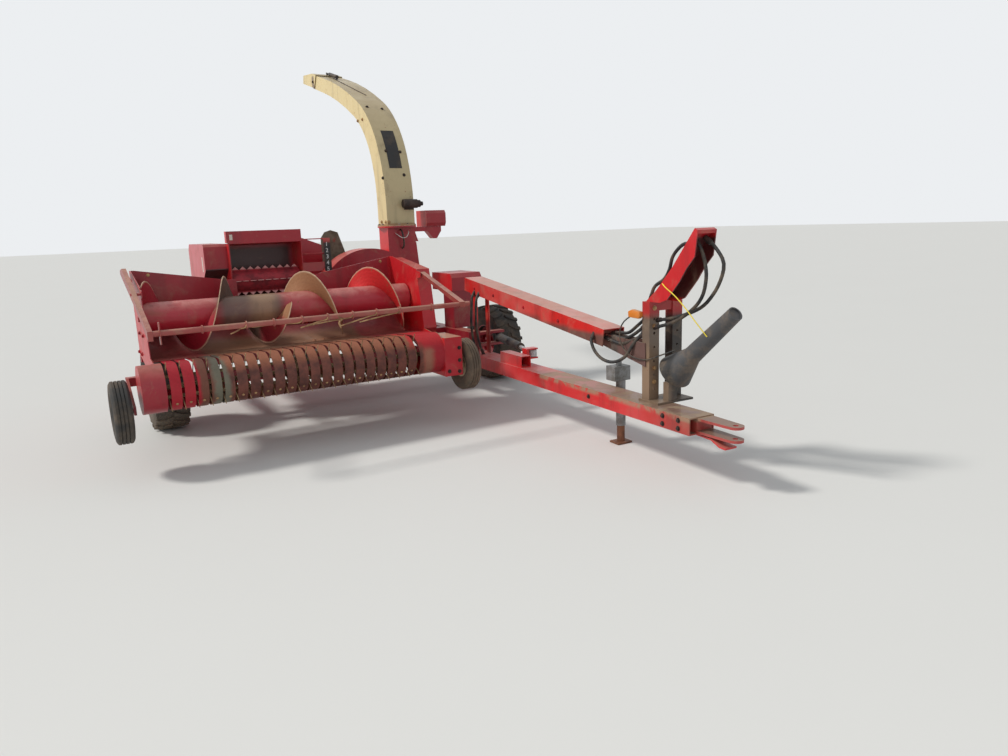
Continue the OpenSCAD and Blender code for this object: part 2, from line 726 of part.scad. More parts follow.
module gear_shield_right() {
    color([0.62, 0.06, 0.10]) seat() difference() {
        along_x(1690, 2015) gear_shield_outline(0);
        along_x(1690 + shell_wall, 2015 - shell_wall) gear_shield_outline(shell_wall);
    }
}

module gear_shield_outline(t) {
    polygon([
        [-300 + t, gearbox_top + t], [-300 + t, 1080 - 0.4 * t], [-270 + 0.4 * t, 1120 - t], [110 - t, 1120 - t],
        [110 - t, gearbox_top + t]
    ]);
}

module gearbox() {
    color([0.50, 0.06, 0.08]) seat()
        block([1705, -290, frame_top + seat_gap], [1960, -90, gearbox_top - seat_gap]);
}

module roll_scale_bar() {
    color([0.85, 0.85, 0.84]) seat() {
        x1 = throat_w / 2 + feed_wall + 268;
        y = throat_front_y + fascia_d + seat_gap;
        // top plate behind the fascia, scale strip and link rod
        block([throat_w / 2 - 30, y, opening_top + seat_gap], [x1, y + 65, opening_top + seat_gap + 8]);
        block([x1 - 62, y, opening_top - 274], [x1, y + 6, opening_top + 4]);
        bar_x(throat_w / 2 + feed_wall + seat_gap, x1 - 60, y + 8, opening_top - 121, 8);
    }
}

module access_plate() {
    color([0.30, 0.26, 0.20]) seat() along_y(440, 448) polygon([
        [700, conveyor_top + seat_gap], [700, 1490], [740, 1545], [800, 1563], [870, 1540], [929, 1360],
        [929, conveyor_top + seat_gap]
    ]);
}

// Header: Y and Z outline of the trough's sheet, from the rear sheet round to the front lip
trough_lip_y = reel_y + tine_reach + 14;
lip_z = 712;

module trough_sheet() {
    inner_r = trough_r;
    outer_r = trough_r + sheet;
    difference() {
        union() {
            translate([auger_y, auger_z]) circle(r = outer_r, $fn = 96);
            polygon([[trough_lip_y, lip_z], [auger_y, auger_z - outer_r], [auger_y, auger_z], [trough_lip_y, lip_z + sheet]]);
        }
        translate([auger_y, auger_z]) circle(r = inner_r, $fn = 96);
        polygon([
            [trough_lip_y - 10, lip_z + sheet], [trough_lip_y, lip_z + sheet], [auger_y, auger_z - inner_r],
            [auger_y + 10, auger_z], [auger_y + outer_r + 10, auger_z], [auger_y + outer_r + 10, auger_z + outer_r + 10],
            [trough_lip_y - 400, auger_z + outer_r + 10]
        ]);
    }
    // rear sheet above the auger's axis
    translate([auger_y + inner_r, auger_z - 14]) square([sheet, rear_sheet_top - auger_z + 14]);
}

module end_sheet() {
    polygon([
        [auger_y + trough_r + sheet, rear_sheet_top], [auger_y + trough_r - 60, rear_sheet_top], [-959, 1226],
        [-1052, 745], [reel_y + 20, reel_z + band_r - 12], [reel_y, reel_z], [reel_y + 90, reel_z - 110],
        [-760, 640], [auger_y + trough_r + sheet, 700]
    ]);
    translate([reel_y, reel_z]) circle(r = band_r + 2, $fn = 96);
}

module header_trough() {
    rear_y = auger_y + trough_r;
    color([0.62, 0.06, 0.10]) seat() difference() {
        union() {
            along_x(-header_left, header_right) trough_sheet();
            along_x(-header_left, -header_left + sheet + 1) end_sheet();
            along_x(header_right - sheet - 1, header_right) end_sheet();
            // drive shield on the right end, from the rear sheet to the post beside the reel
            along_x(header_right - 1, header_right + 112) polygon([
                [rear_y - 4, 640], [rear_y - 4, rear_sheet_top - 16], [-959, 1226], [-1045, 745], [-1000, 640]
            ]);
            // hollow box round the reel's right end, and a round cup over its left end
            difference() {
                block([header_right - 1, reel_y - 150, reel_z - 184], [header_right + 153, reel_y + 150, reel_z + 126]);
                block([header_right + 4, reel_y - 145, reel_z - 179], [header_right + 148, reel_y + 145, reel_z + 121]);
            }
            difference() {
                bar_x(-header_left - 109, -header_left + 38, reel_y, reel_z, band_r + 4);
                bar_x(-header_left - 105, -header_left + 39, reel_y, reel_z, band_r);
            }
            // flange along the top edge of the rear sheet, and ears for the wind guard's pins
            for (s = [-1, 1]) {
                along_y(rear_y + 1, rear_y + 28) polygon([
                    [s * (throat_w / 2 + 90), rear_sheet_low - 4], [s * (throat_w / 2 + 90), rear_sheet_low + 1],
                    [s * (header_right - 8), rear_sheet_top - 3], [s * (header_right - 8), rear_sheet_top - 9]
                ]);
                along_x(s > 0 ? header_right - sheet - 1 : -header_left, s > 0 ? header_right : -header_left + sheet + 1)
                    polygon([
                        guard_pivot + [-24, -22], guard_pivot + [-24, 22], guard_pivot + [70, 30], guard_pivot + [70, -40]
                    ]);
            }
            // lower rear tube and hinge lugs
            block([-header_left, rear_y - 40, 640], [header_right, rear_y + sheet, 715]);
            for (s = [-1, 1])
                along_x(s * (cheek_x + 40) - 14, s * (cheek_x + 40) + 14) polygon([
                    [rear_y - 10, 645], [rear_y - 10, 715], [hinge_y + 10, hinge_z + 34], [hinge_y + 30, hinge_z],
                    [hinge_y + 14, hinge_z - 30], [rear_y - 10, 640]
                ]);
            // lug for the lift cylinder
            for (s = [-1, 1])
                along_x(lift_x + s * 40 - 6, lift_x + s * 40 + 6) polygon([
                    [lift_eye[0] - 28, lift_eye[1] - 28], [lift_eye[0] + 28, lift_eye[1] - 28],
                    [lift_eye[0] + 60, 702], [lift_eye[0] - 60, 702]
                ]);
            bar_x(lift_x - 46, lift_x + 46, lift_eye[0], lift_eye[1], pin_r);
            // pins of the wind guard
            bar_x(-header_left - guard_out - 20, -header_left + 1, guard_pivot[0], guard_pivot[1], guard_pin_r);
            bar_x(header_right - 1, header_right + 56, guard_pivot[0], guard_pivot[1], guard_pin_r);
            // cross tube behind the reel, which carries the stripper bands
            bar_x(-header_left + 2, header_right - 2, reel_y + 262, reel_z - 60, 26);
        }
        // throat opening
        block([-throat_w / 2 - 6, rear_y - 60, 716], [throat_w / 2 + 6, rear_y + 40, 2000]);
        // top edge that falls from the corners to the throat
        for (s = [-1, 1])
            along_y(rear_y - 30, rear_y + 30) polygon([
                [s * (throat_w / 2), rear_sheet_low], [s * (throat_w / 2 + 80), rear_sheet_low],
                [s * (header_right - 3), rear_sheet_top], [s * (header_right - 3), 1500], [s * (throat_w / 2), 1500]
            ]);
        // bearings of the auger and the reel
        bar_x(-header_left - 20, header_right + 140, auger_y, auger_z, 20 + run_fit);
        bar_x(-header_left - 20, header_right + 140, reel_y, reel_z, 17 + run_fit);
        for (s = [-1, 1])
            bar_x(s * (cheek_x + 40) - 20, s * (cheek_x + 40) + 20, hinge_y, hinge_z, pin_r + run_fit);
    }
}

// Stripper bands: one loop round the reel, repeated along it
module band_outline() {
    t = 5;
    tail_y = trough_lip_y - seat_gap;
    tail_z = lip_z + sheet;
    foot = [reel_y + 262 - 26 - seat_gap, reel_z - 60];
    difference() {
        union() {
            translate([reel_y, reel_z]) circle(r = band_r, $fn = 64);
            polygon([[reel_y, reel_z + band_r], [tail_y, tail_z], [tail_y, tail_z - 5 * t], [reel_y, reel_z]]);
            polygon([[reel_y, reel_z - band_r], [foot[0], foot[1] - 8], [foot[0], foot[1] + 8], [reel_y, reel_z]]);
        }
        translate([reel_y, reel_z]) circle(r = band_r - t, $fn = 64);
        polygon([
            [reel_y, reel_z + band_r - t], [tail_y + 1, tail_z - t], [tail_y + 1, foot[1] + 3],
            [foot[0] + 1, foot[1] + 1], [foot[0] + 1, foot[1] - 3], [reel_y, reel_z - band_r + t]
        ]);
    }
}

module strippers() {
    color([0.45, 0.17, 0.12]) seat() {
        for (i = [0 : band_count - 1])
            translate([-band_left + i * band_pitch, 0, 0]) along_x(-band_w / 2, band_w / 2) band_outline();
        // plain cover between the last band and the right end sheet
        along_x(-band_left + (band_count - 1) * band_pitch + band_w / 2 + 33, header_right - sheet - 1 - seat_gap)
            band_outline();
    }
}

// Auger
module auger_tube() {
    color([0.60, 0.10, 0.12]) seat() {
        bar_x(-header_left - 12, header_right + 60, auger_y, auger_z, 20);
        difference() {
            bar_x(-header_left + sheet + 12, header_right - sheet - 12, auger_y, auger_z, auger_tube_r);
            bar_x(-header_left + sheet + 20, header_right - sheet - 20, auger_y, auger_z, auger_tube_r - 8);
        }
    }
}

// One helical flight that starts at x0, hand is 1 or -1
module flight(x0, length, hand, start) {
    steps_a_turn = 24;
    thick_angle = 6 / flight_pitch * 360;
    turns = length / flight_pitch;
    // the flats between two steps stay just clear of the tube
    inner_r = (auger_tube_r + seat_gap) / cos(180 / steps_a_turn + thick_angle / 2);
    translate([x0, auger_y, auger_z]) rotate([0, 90, 0]) rotate(start)
        linear_extrude(height = length, twist = hand * 360 * turns, slices = ceil(turns * steps_a_turn), segments = 12)
            polygon([
                [inner_r, 0], inner_r * [cos(thick_angle), sin(thick_angle)],
                flight_r * [cos(thick_angle), sin(thick_angle)], [flight_r, 0]
            ]);
}

module auger_flights() {
    inner_left = -header_left + sheet + 14;
    inner_right = header_right - sheet - 14;
    half_gap = 30;
    color([0.50, 0.24, 0.14]) seat() {
        flight(inner_left, -half_gap - inner_left, 1, 207);
        flight(half_gap, inner_right - half_gap, -1, 90);
    }
}

// Tine reel
module tine_reel() {
    first = -band_left - band_pitch / 2;
    bar_r = 11;
    color([0.40, 0.32, 0.24]) seat() translate([0, reel_y, reel_z]) {
        bar_x(-header_left - 10, header_right + 60, 0, 0, 17);
        for (x = [first - 20, -100, first + band_count * band_pitch + 16])
            bar_x(x - 4, x + 4, 0, 0, bar_circle + 16);
        for (a = [35 : 90 : 305]) rotate([a, 0, 0]) {
            translate([first - 24, 0, bar_circle]) rotate([0, 90, 0])
                cylinder(r = bar_r, h = band_count * band_pitch + 44, $fn = 24);
            for (i = [0 : band_count])
                translate([first + i * band_pitch, 0, bar_circle]) cylinder(r = tine_r, h = tine_reach - bar_circle, $fn = 12);
        }
    }
}

// Gauge wheels and the arms that carry them
module gauge_tyre(x) {
    color([0.14, 0.13, 0.12]) seat() turned_x(x, reel_y, gauge_z) tyre_outline(gauge_r, gauge_w, gauge_rim_r, 2, 5);
}

module gauge_rim(x) {
    color([0.66, 0.56, 0.42]) seat() translate([x, reel_y, gauge_z]) rotate([0, 90, 0]) rotate_extrude($fn = 96) polygon([
        [13 + run_fit, -40], [30, -40], [30, -6], [gauge_rim_r - 14, -6], [gauge_rim_r - 14, -0.36 * gauge_w],
        [gauge_rim_r - 0.5, -0.36 * gauge_w], [gauge_rim_r - 0.5, 0.36 * gauge_w], [gauge_rim_r - 14, 0.36 * gauge_w],
        [gauge_rim_r - 14, 6], [30, 6], [30, 40], [13 + run_fit, 40]
    ]);
}

module wheel_arms() {
    color([0.58, 0.07, 0.09]) seat() {
        // side, end sheet, wheel
        for (row = [[-1, header_left, gauge_left_x], [1, header_right, gauge_right_x]]) {
            s = row[0];
            inner = row[1] + seat_gap;
            wheel = row[2];
            face = wheel - gauge_w / 2 - 14;
            x0 = s > 0 ? inner : -face;
            x1 = s > 0 ? face : -inner;
            block([x0, reel_y + 260, gauge_z + 115], [x1, reel_y + 320, gauge_z + 175]);
            along_x(s > 0 ? face - 16 : -face, s > 0 ? face : -face + 16) polygon([
                [reel_y - 28, gauge_z - 28], [reel_y + 28, gauge_z - 28], [reel_y + 320, gauge_z + 115],
                [reel_y + 320, gauge_z + 175], [reel_y + 260, gauge_z + 175], [reel_y - 28, gauge_z + 28]
            ]);
            bar_x(s > 0 ? face - 1 : -wheel - 44, s > 0 ? wheel + 44 : -face + 1, reel_y, gauge_z, 13);
        }
    }
}

// Wind guard: a bar with collars across two arms
guard_pivot = [-1005, 1186];
guard_bar = [-1640, 985];
guard_pin_r = 9;
guard_out = 46;
guard_collars = [-796, -525, -347, -160, 18, 198, 376, 549, 808];

module wind_guard() {
    left = -header_left - guard_out;
    right = header_right + 33;
    color([0.55, 0.14, 0.12]) seat() {
        difference() {
            union() {
                // left arm, which runs back over the end sheet to its corner
                along_x(left - 15, left + 15) polygon([
                    [-430, 1327], [-560, 1346], [guard_bar[0] - 20, guard_bar[1] + 18], [guard_bar[0] - 20, guard_bar[1] - 42],
                    [-1200, 1094], [-430, 1300]
                ]);
                // right arm, short and of angle iron
                along_x(right - 22, right + 22) polygon([
                    guard_pivot + [18, -6], guard_pivot + [14, 18], guard_bar + [-20, 20], guard_bar + [-20, -20]
                ]);
            }
            along_x(right - 16, right + 23) polygon([
                guard_pivot + [-60, -40], guard_pivot + [-60, -9], guard_bar + [24, 14], guard_bar + [24, -40]
            ]);
            bar_x(left - 20, right + 30, guard_pivot[0], guard_pivot[1], guard_pin_r + run_fit);
        }
        bar_x(left, right + 67, guard_bar[0], guard_bar[1], 18.5);
        block([left + 54, guard_bar[0] - 24, guard_bar[1] - 69], [left + 60, guard_bar[0] + 24, guard_bar[1] + 68]);
        for (x = guard_collars)
            bar_x(x - 4, x + 4, guard_bar[0], guard_bar[1], 27);
    }
}

// Drawbar pieces, measured from the pivot with +Y to the rear
beam_front = beam_front_y - pivot_y;
beam_left = -76;
beam_right = beam_left + beam_w;
stub_y = [-1040, -690];

module drawbar_beam() {
    low = beam_top - beam_h;
    color([0.66, 0.10, 0.10]) on_drawbar() difference() {
        union() {
            difference() {
                block([beam_left, beam_front, low], [beam_right, 40, beam_top]);
                block([beam_left + beam_wall, beam_front - 1, low + beam_wall],
                    [beam_right - beam_wall, -160, beam_top - beam_wall]);
            }
            translate([0, 0, low - 38]) cylinder(r = 55, h = beam_h + 66);
            // hitch plates, joined inside the beam's end
            for (z = [low + 6, beam_top - 22])
                hull() {
                    block([hitch_x - 60, beam_front + 2, z], [hitch_x + 60, beam_front + 60, z + 16]);
                    translate([hitch_x, beam_front - hitch_reach, z]) cylinder(r = hitch_tip_r, h = 16);
                }
            block([hitch_x - 60, beam_front + 2, low + 6], [hitch_x + 60, beam_front + 60, beam_top - 8]);
            // stub tube on the beam beside the swing cylinder
            difference() {
                block([-62, stub_y[0], beam_top - 1], [30, stub_y[1], beam_top + 92]);
                block([-56, stub_y[0] - 1, beam_top + 5], [24, stub_y[1] + 1, beam_top + 86]);
            }
            // lug for the swing cylinder
            for (z = [swing_z - 44, swing_z + 32])
                block([swing_eye_rel[0] - 62, swing_eye_rel[1] - 36, z], [swing_eye_rel[0] + 34, swing_eye_rel[1] + 36, z + 12]);
            translate([swing_eye_rel[0], swing_eye_rel[1], swing_z - 44]) cylinder(r = pin_r, h = 88);
            block([swing_eye_rel[0] - 76, swing_eye_rel[1] - 36, beam_top - 1],
                [swing_eye_rel[0] - 50, swing_eye_rel[1] + 36, swing_z + 44]);
        }
        translate([0, 0, low - 60]) cylinder(r = pivot_r, h = beam_h + 140);
        translate([hitch_x, beam_front - hitch_reach, low - 60]) cylinder(r = hitch_r, h = beam_h + 120);
    }
    color([0.5, 0.5, 0.5]) on_drawbar() translate([0, 0, low - 62]) cylinder(r = pivot_r, h = beam_h + 136);
}

// Cover of the drive line above the drawbar, with its open end in front
cover_front = -2160;
cover_rear = -60;
cover_x = 27;
cover_z = 850;
cover_w = 176;
cover_h = 118;
cover_rise = 6.8;

module shaft_cover() {
    leg_y = -230;
    leg_z = cover_z - cover_h / cos(cover_rise) + (leg_y - cover_front) * tan(cover_rise);
    tie_y = cover_front + 100;
    color([0.66, 0.09, 0.10]) on_drawbar() {
        translate([cover_x, cover_front, cover_z]) rotate([cover_rise, 0, 0]) difference() {
            block([-cover_w / 2, 0, -cover_h], [cover_w / 2, (cover_rear - cover_front) / cos(cover_rise), 0]);
            block([-cover_w / 2 + 6, -1, -cover_h - 1], [cover_w / 2 - 6, cover_rear - cover_front - 20, -6]);
        }
        // legs that stand on the beam near the pivot
        for (x = [cover_x - 60, cover_x + 60])
            block([x - 6, leg_y, beam_top + seat_gap], [x + 6, leg_y + 60, leg_z]);
        block([cover_x - cover_w / 2, leg_y, leg_z - 8], [cover_x + cover_w / 2, leg_y + 60, leg_z + 14]);
        // plates that run forward to both sides of the near post
        for (x = [-seat_gap - 8, post_w + seat_gap])
            along_x(x, x + 8) polygon([
                [tie_y + 12, cover_z - 116], [post_y[0] + 30, 644], [post_y[0] + 34, 796], [tie_y + 12, cover_z - 40]
            ]);
        block([cover_x - cover_w / 2 + 1, tie_y, cover_z - 90], [cover_x + cover_w / 2 - 1, tie_y + 12, cover_z - 46]);
    }
}

// Mast: two channel posts on a base plate, with the folded arm that holds the hoses
post_y = [-2560, -2490];
post_w = 80;
far_post = 190;
post_top = 1060;

module mast() {
    color([0.34, 0.16, 0.12]) on_drawbar() difference() {
        union() {
            block([-12, joint_y - 30, beam_top + seat_gap], [far_post + post_w + 12, post_y[1] + 20, beam_top + 14]);
            for (x = [0, far_post]) difference() {
                block([x, post_y[0], beam_top + 13], [x + post_w, post_y[1], post_top]);
                block([x + 7, post_y[0] + 7, beam_top], [x + post_w - 7, post_y[1] + 1, post_top + 10]);
            }
            block([0, post_y[0] + 7, post_top - 60], [far_post + post_w, post_y[1], post_top]);
            // pedestal under the drive shaft's joint
            block([shield_at[0] - 36, joint_y - 25, beam_top + 13],
                [shield_at[0] + 36, joint_y + 25, shield_at[2] - joint_drop * sin(shield_rise) - joint_r - seat_gap]);
        }
        for (x = [post_w / 2, far_post + post_w / 2], z = [500 : 90 : 950])
            bar_y(post_y[0] - 30, post_y[0] + 30, x, z, 9);
    }
}

module mast_arm() {
    color([0.60, 0.08, 0.10]) on_drawbar() difference() {
        // a channel that leans forward from the posts to its head, open in front
        along_x(10, 160) polygon([
            [post_y[1] - 22, post_top + seat_gap], [post_y[1] - 121, 1137], [post_y[1] - 265, 1285],
            [post_y[1] - 449, 1511], [post_y[1] - 472, 1500], [post_y[1] - 451, 1350], [post_y[1] - 385, 1280],
            [post_y[1] - 327, 1201], [post_y[1] - 218, 1084], [post_y[1] - 150, post_top + seat_gap]
        ]);
        along_x(18, 152) polygon([
            [post_y[1] - 34, post_top], [post_y[1] - 129, 1132], [post_y[1] - 272, 1280], [post_y[1] - 440, 1484],
            [post_y[1] - 600, 1460], [post_y[1] - 600, 1000], [post_y[1] - 100, 1000]
        ]);
    }
}

jack_at = [beam_right + 38, -2064];
jack_low = 130;

module jack_tube() {
    color([0.50, 0.51, 0.52]) on_drawbar() translate([jack_at[0], jack_at[1], 0]) {
        difference() {
            translate([0, 0, jack_low]) cylinder(r = 34, h = 565 - jack_low);
            translate([0, 0, jack_low - 1]) cylinder(r = 28 + run_fit, h = 546 - jack_low);
        }
        difference() {
            block([-jack_at[0] + beam_right + seat_gap, -40, beam_top - 90], [-20, 40, beam_top - 10]);
            translate([0, 0, 200]) cylinder(r = 31, h = 345);
        }
        // boxed gear head
        difference() {
            block([-90, -50, 465], [46, 50, 566]);
            translate([0, 0, 200]) cylinder(r = 31, h = 346);
            block([-82, -42, 473], [-40, 42, 558]);
        }
        translate([-16, 0, 565]) cylinder(r = 20, h = 30);
    }
}

module jack_leg() {
    color([0.55, 0.54, 0.52]) on_drawbar() translate([jack_at[0], jack_at[1], 0]) {
        cylinder(r = 28, h = 420);
        block([-62, -50, 0], [62, 50, 12]);
    }
}

// Shield of the drive shaft, lifted and tied to the mast
shield_at = [114, -2677, 620];
shield_rise = 40;
joint_r = 34;
joint_drop = 60;
joint_y = shield_at[1] + joint_drop * cos(shield_rise);

module shaft_shield() {
    color([0.12, 0.12, 0.13]) on_drawbar() translate(shield_at) rotate([90 - shield_rise, 0, 0]) {
        difference() {
            union() {
                cylinder(r1 = 115, r2 = 58, h = 190);
                translate([0, 0, 189]) cylinder(r1 = 58, r2 = 45, h = 451);
            }
            translate([0, 0, -0.01]) cylinder(r1 = 110, r2 = 53, h = 182);
            translate([0, 0, 100]) cylinder(r = 38, h = 700);
        }
        translate([0, 0, -joint_drop]) cylinder(r = 20, h = 280);
        translate([0, 0, 190]) cylinder(r = 38.5, h = 440);
        translate([0, 0, -joint_drop]) sphere(r = joint_r);
    }
}

module tyre_left() { wheel_tyre(-wheel_left_x); }
module tyre_right() { wheel_tyre(wheel_right_x); }
module rim_left() { wheel_rim(-wheel_left_x, -1); }
module rim_right() { wheel_rim(wheel_right_x, 1); }
module gauge_tyre_left() { gauge_tyre(-gauge_left_x); }
module gauge_tyre_right() { gauge_tyre(gauge_right_x); }
module gauge_rim_left() { gauge_rim(-gauge_left_x); }
module gauge_rim_right() { gauge_rim(gauge_right_x); }

main_frame();
axle();
feed_housing();
cutter_housing();
cutter_drum();
cross_conveyor();
blower_housing();
blower_rotor();
spout_tower();
drive_shield_left();
gear_shield_right();
gearbox();
roll_scale_bar();
access_plate();
spout_motor_box();
tyre_left();
rim_left();
tyre_right();
rim_right();
header_trough();
strippers();
wheel_arms();
auger_tube();
auger_flights();
tine_reel();
gauge_tyre_left();
gauge_rim_left();
gauge_tyre_right();
gauge_rim_right();
wind_guard();
feed_roll_upper();
feed_roll_lower();
drawbar_beam();
shaft_cover();
mast();
mast_arm();
jack_tube();
jack_leg();
shaft_shield();
swing_barrel();
swing_rod();
lift_barrel();
lift_rod();
spout();
spout_cap();
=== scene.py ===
import math

import bpy
from mathutils import Matrix, Vector


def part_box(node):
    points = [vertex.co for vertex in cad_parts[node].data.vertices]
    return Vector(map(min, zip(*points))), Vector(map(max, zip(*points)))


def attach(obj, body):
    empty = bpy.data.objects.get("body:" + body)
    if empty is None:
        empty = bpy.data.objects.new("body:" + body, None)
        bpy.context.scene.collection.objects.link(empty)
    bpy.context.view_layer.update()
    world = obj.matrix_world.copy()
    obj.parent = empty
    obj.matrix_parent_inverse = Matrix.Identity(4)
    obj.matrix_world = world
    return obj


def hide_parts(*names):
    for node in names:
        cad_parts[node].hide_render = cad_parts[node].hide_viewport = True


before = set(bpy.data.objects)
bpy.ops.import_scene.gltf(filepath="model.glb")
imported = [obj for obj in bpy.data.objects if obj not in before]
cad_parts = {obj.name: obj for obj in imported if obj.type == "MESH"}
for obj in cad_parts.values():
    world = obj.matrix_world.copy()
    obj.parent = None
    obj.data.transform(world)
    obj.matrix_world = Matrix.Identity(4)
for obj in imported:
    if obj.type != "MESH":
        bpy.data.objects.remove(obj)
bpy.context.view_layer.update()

bl_info = {
    "name": "Pull-type Forage Harvester",
    "version": (1, 0, 0),
    "blender": (4, 5, 0),
    "location": "3D View > Sidebar > Harvester",
    "description": "Paint, wear, tread, hoses and small fittings for a trailed forage harvester",
    "category": "Object",
}


def middle(node):
    low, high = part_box(node)
    return (Vector(low) + Vector(high)) / 2


# Places below are given from the middle of the throat, the main axle and the ground
THROAT_X = middle("feed_roll_lower").x
AXLE_Y = middle("tyre_left").y

# The drawbar's pin and how far the beam is turned about it
BEAM_PIN = (1.722, -0.560)
BEAM_TURN = math.radians(2.7)


def site(x, y, z):
    """A place given from the throat, the axle and the ground."""
    return Vector((x + THROAT_X, y + AXLE_Y, z))


def on_beam(x, y, z):
    """A place given along the drawbar, from its pin."""
    return site(BEAM_PIN[0] + x * math.cos(BEAM_TURN) + y * math.sin(BEAM_TURN),
                BEAM_PIN[1] - x * math.sin(BEAM_TURN) + y * math.cos(BEAM_TURN), z)


def beam_way(x, y, z):
    """A direction given along the drawbar."""
    return (on_beam(x, y, z) - on_beam(0, 0, 0)).normalized()


LEFT, RIGHT = Vector((-1, 0, 0)), Vector((1, 0, 0))
AHEAD, BEHIND = Vector((0, -1, 0)), Vector((0, 1, 0))
UP, DOWN = Vector((0, 0, 1)), Vector((0, 0, -1))


def linear(red, green, blue):
    """A colour given 0 to 255 for each channel, as Blender's own linear colour."""
    def channel(value):
        value /= 255
        return value / 12.92 if value <= 0.04045 else ((value + 0.055) / 1.055) ** 2.4
    return (channel(red), channel(green), channel(blue), 1.0)


def colour_prop(name, description, default):
    return bpy.props.FloatVectorProperty(
        name=name, description=description, subtype="COLOR", size=4, min=0, max=1, default=default)


def length_prop(name, description, default):
    return bpy.props.FloatProperty(name=name, description=description, unit="LENGTH", min=0, default=default)


class HarvesterColours(bpy.types.PropertyGroup):
    red: colour_prop("Red", "Red paint where it is sound", linear(186, 24, 36))
    faded: colour_prop("Faded red", "Red paint bleached by the sun", linear(204, 98, 100))
    # Darker red of the pieces under the machine: grime and, in part, painted shade
    deep_shade: colour_prop("Deep red", "Red paint that the sun has not reached", linear(140, 12, 32))
    # The spout's paint as the sun lights it: painted light on its faces turned to the left
    cream_sunlit: colour_prop("Cream", "Paint of the spout", linear(228, 206, 150))
    cream_worn: colour_prop("Worn cream", "Weathered paint of the spout", linear(178, 160, 124))
    rust: colour_prop("Rust", "Rust on worn steel", linear(132, 72, 42))
    rust_dark: colour_prop("Dark rust", "Old rust", linear(74, 40, 30))
    dirt: colour_prop("Dirt", "Dried dirt and dust", linear(150, 128, 104))
    # Black oily dirt, also used as painted shade inside the throat
    grease_and_shade: colour_prop("Grease", "Black oily dirt", linear(34, 27, 25))
    rubber: colour_prop("Rubber", "Tyre rubber", linear(48, 47, 46))
    rim: colour_prop("Gauge rim", "Dusty paint of the gauge wheels", linear(196, 176, 142))
    floor: colour_prop("Floor", "Plain pale floor", (0.72, 0.72, 0.70, 1.0))


class HarvesterSizes(bpy.types.PropertyGroup):
    bolt_radius: length_prop("Bolt radius", "Across the corners, halved", 0.011)
    lug_height: length_prop("Tread lug", "Height of the main tyres' tread lugs", 0.016)
    hose_diameter: length_prop("Hose", "Outside diameter of the hydraulic hoses", 0.022)
    camera_height: length_prop("Camera height", "Height of the camera above the ground", 1.581)


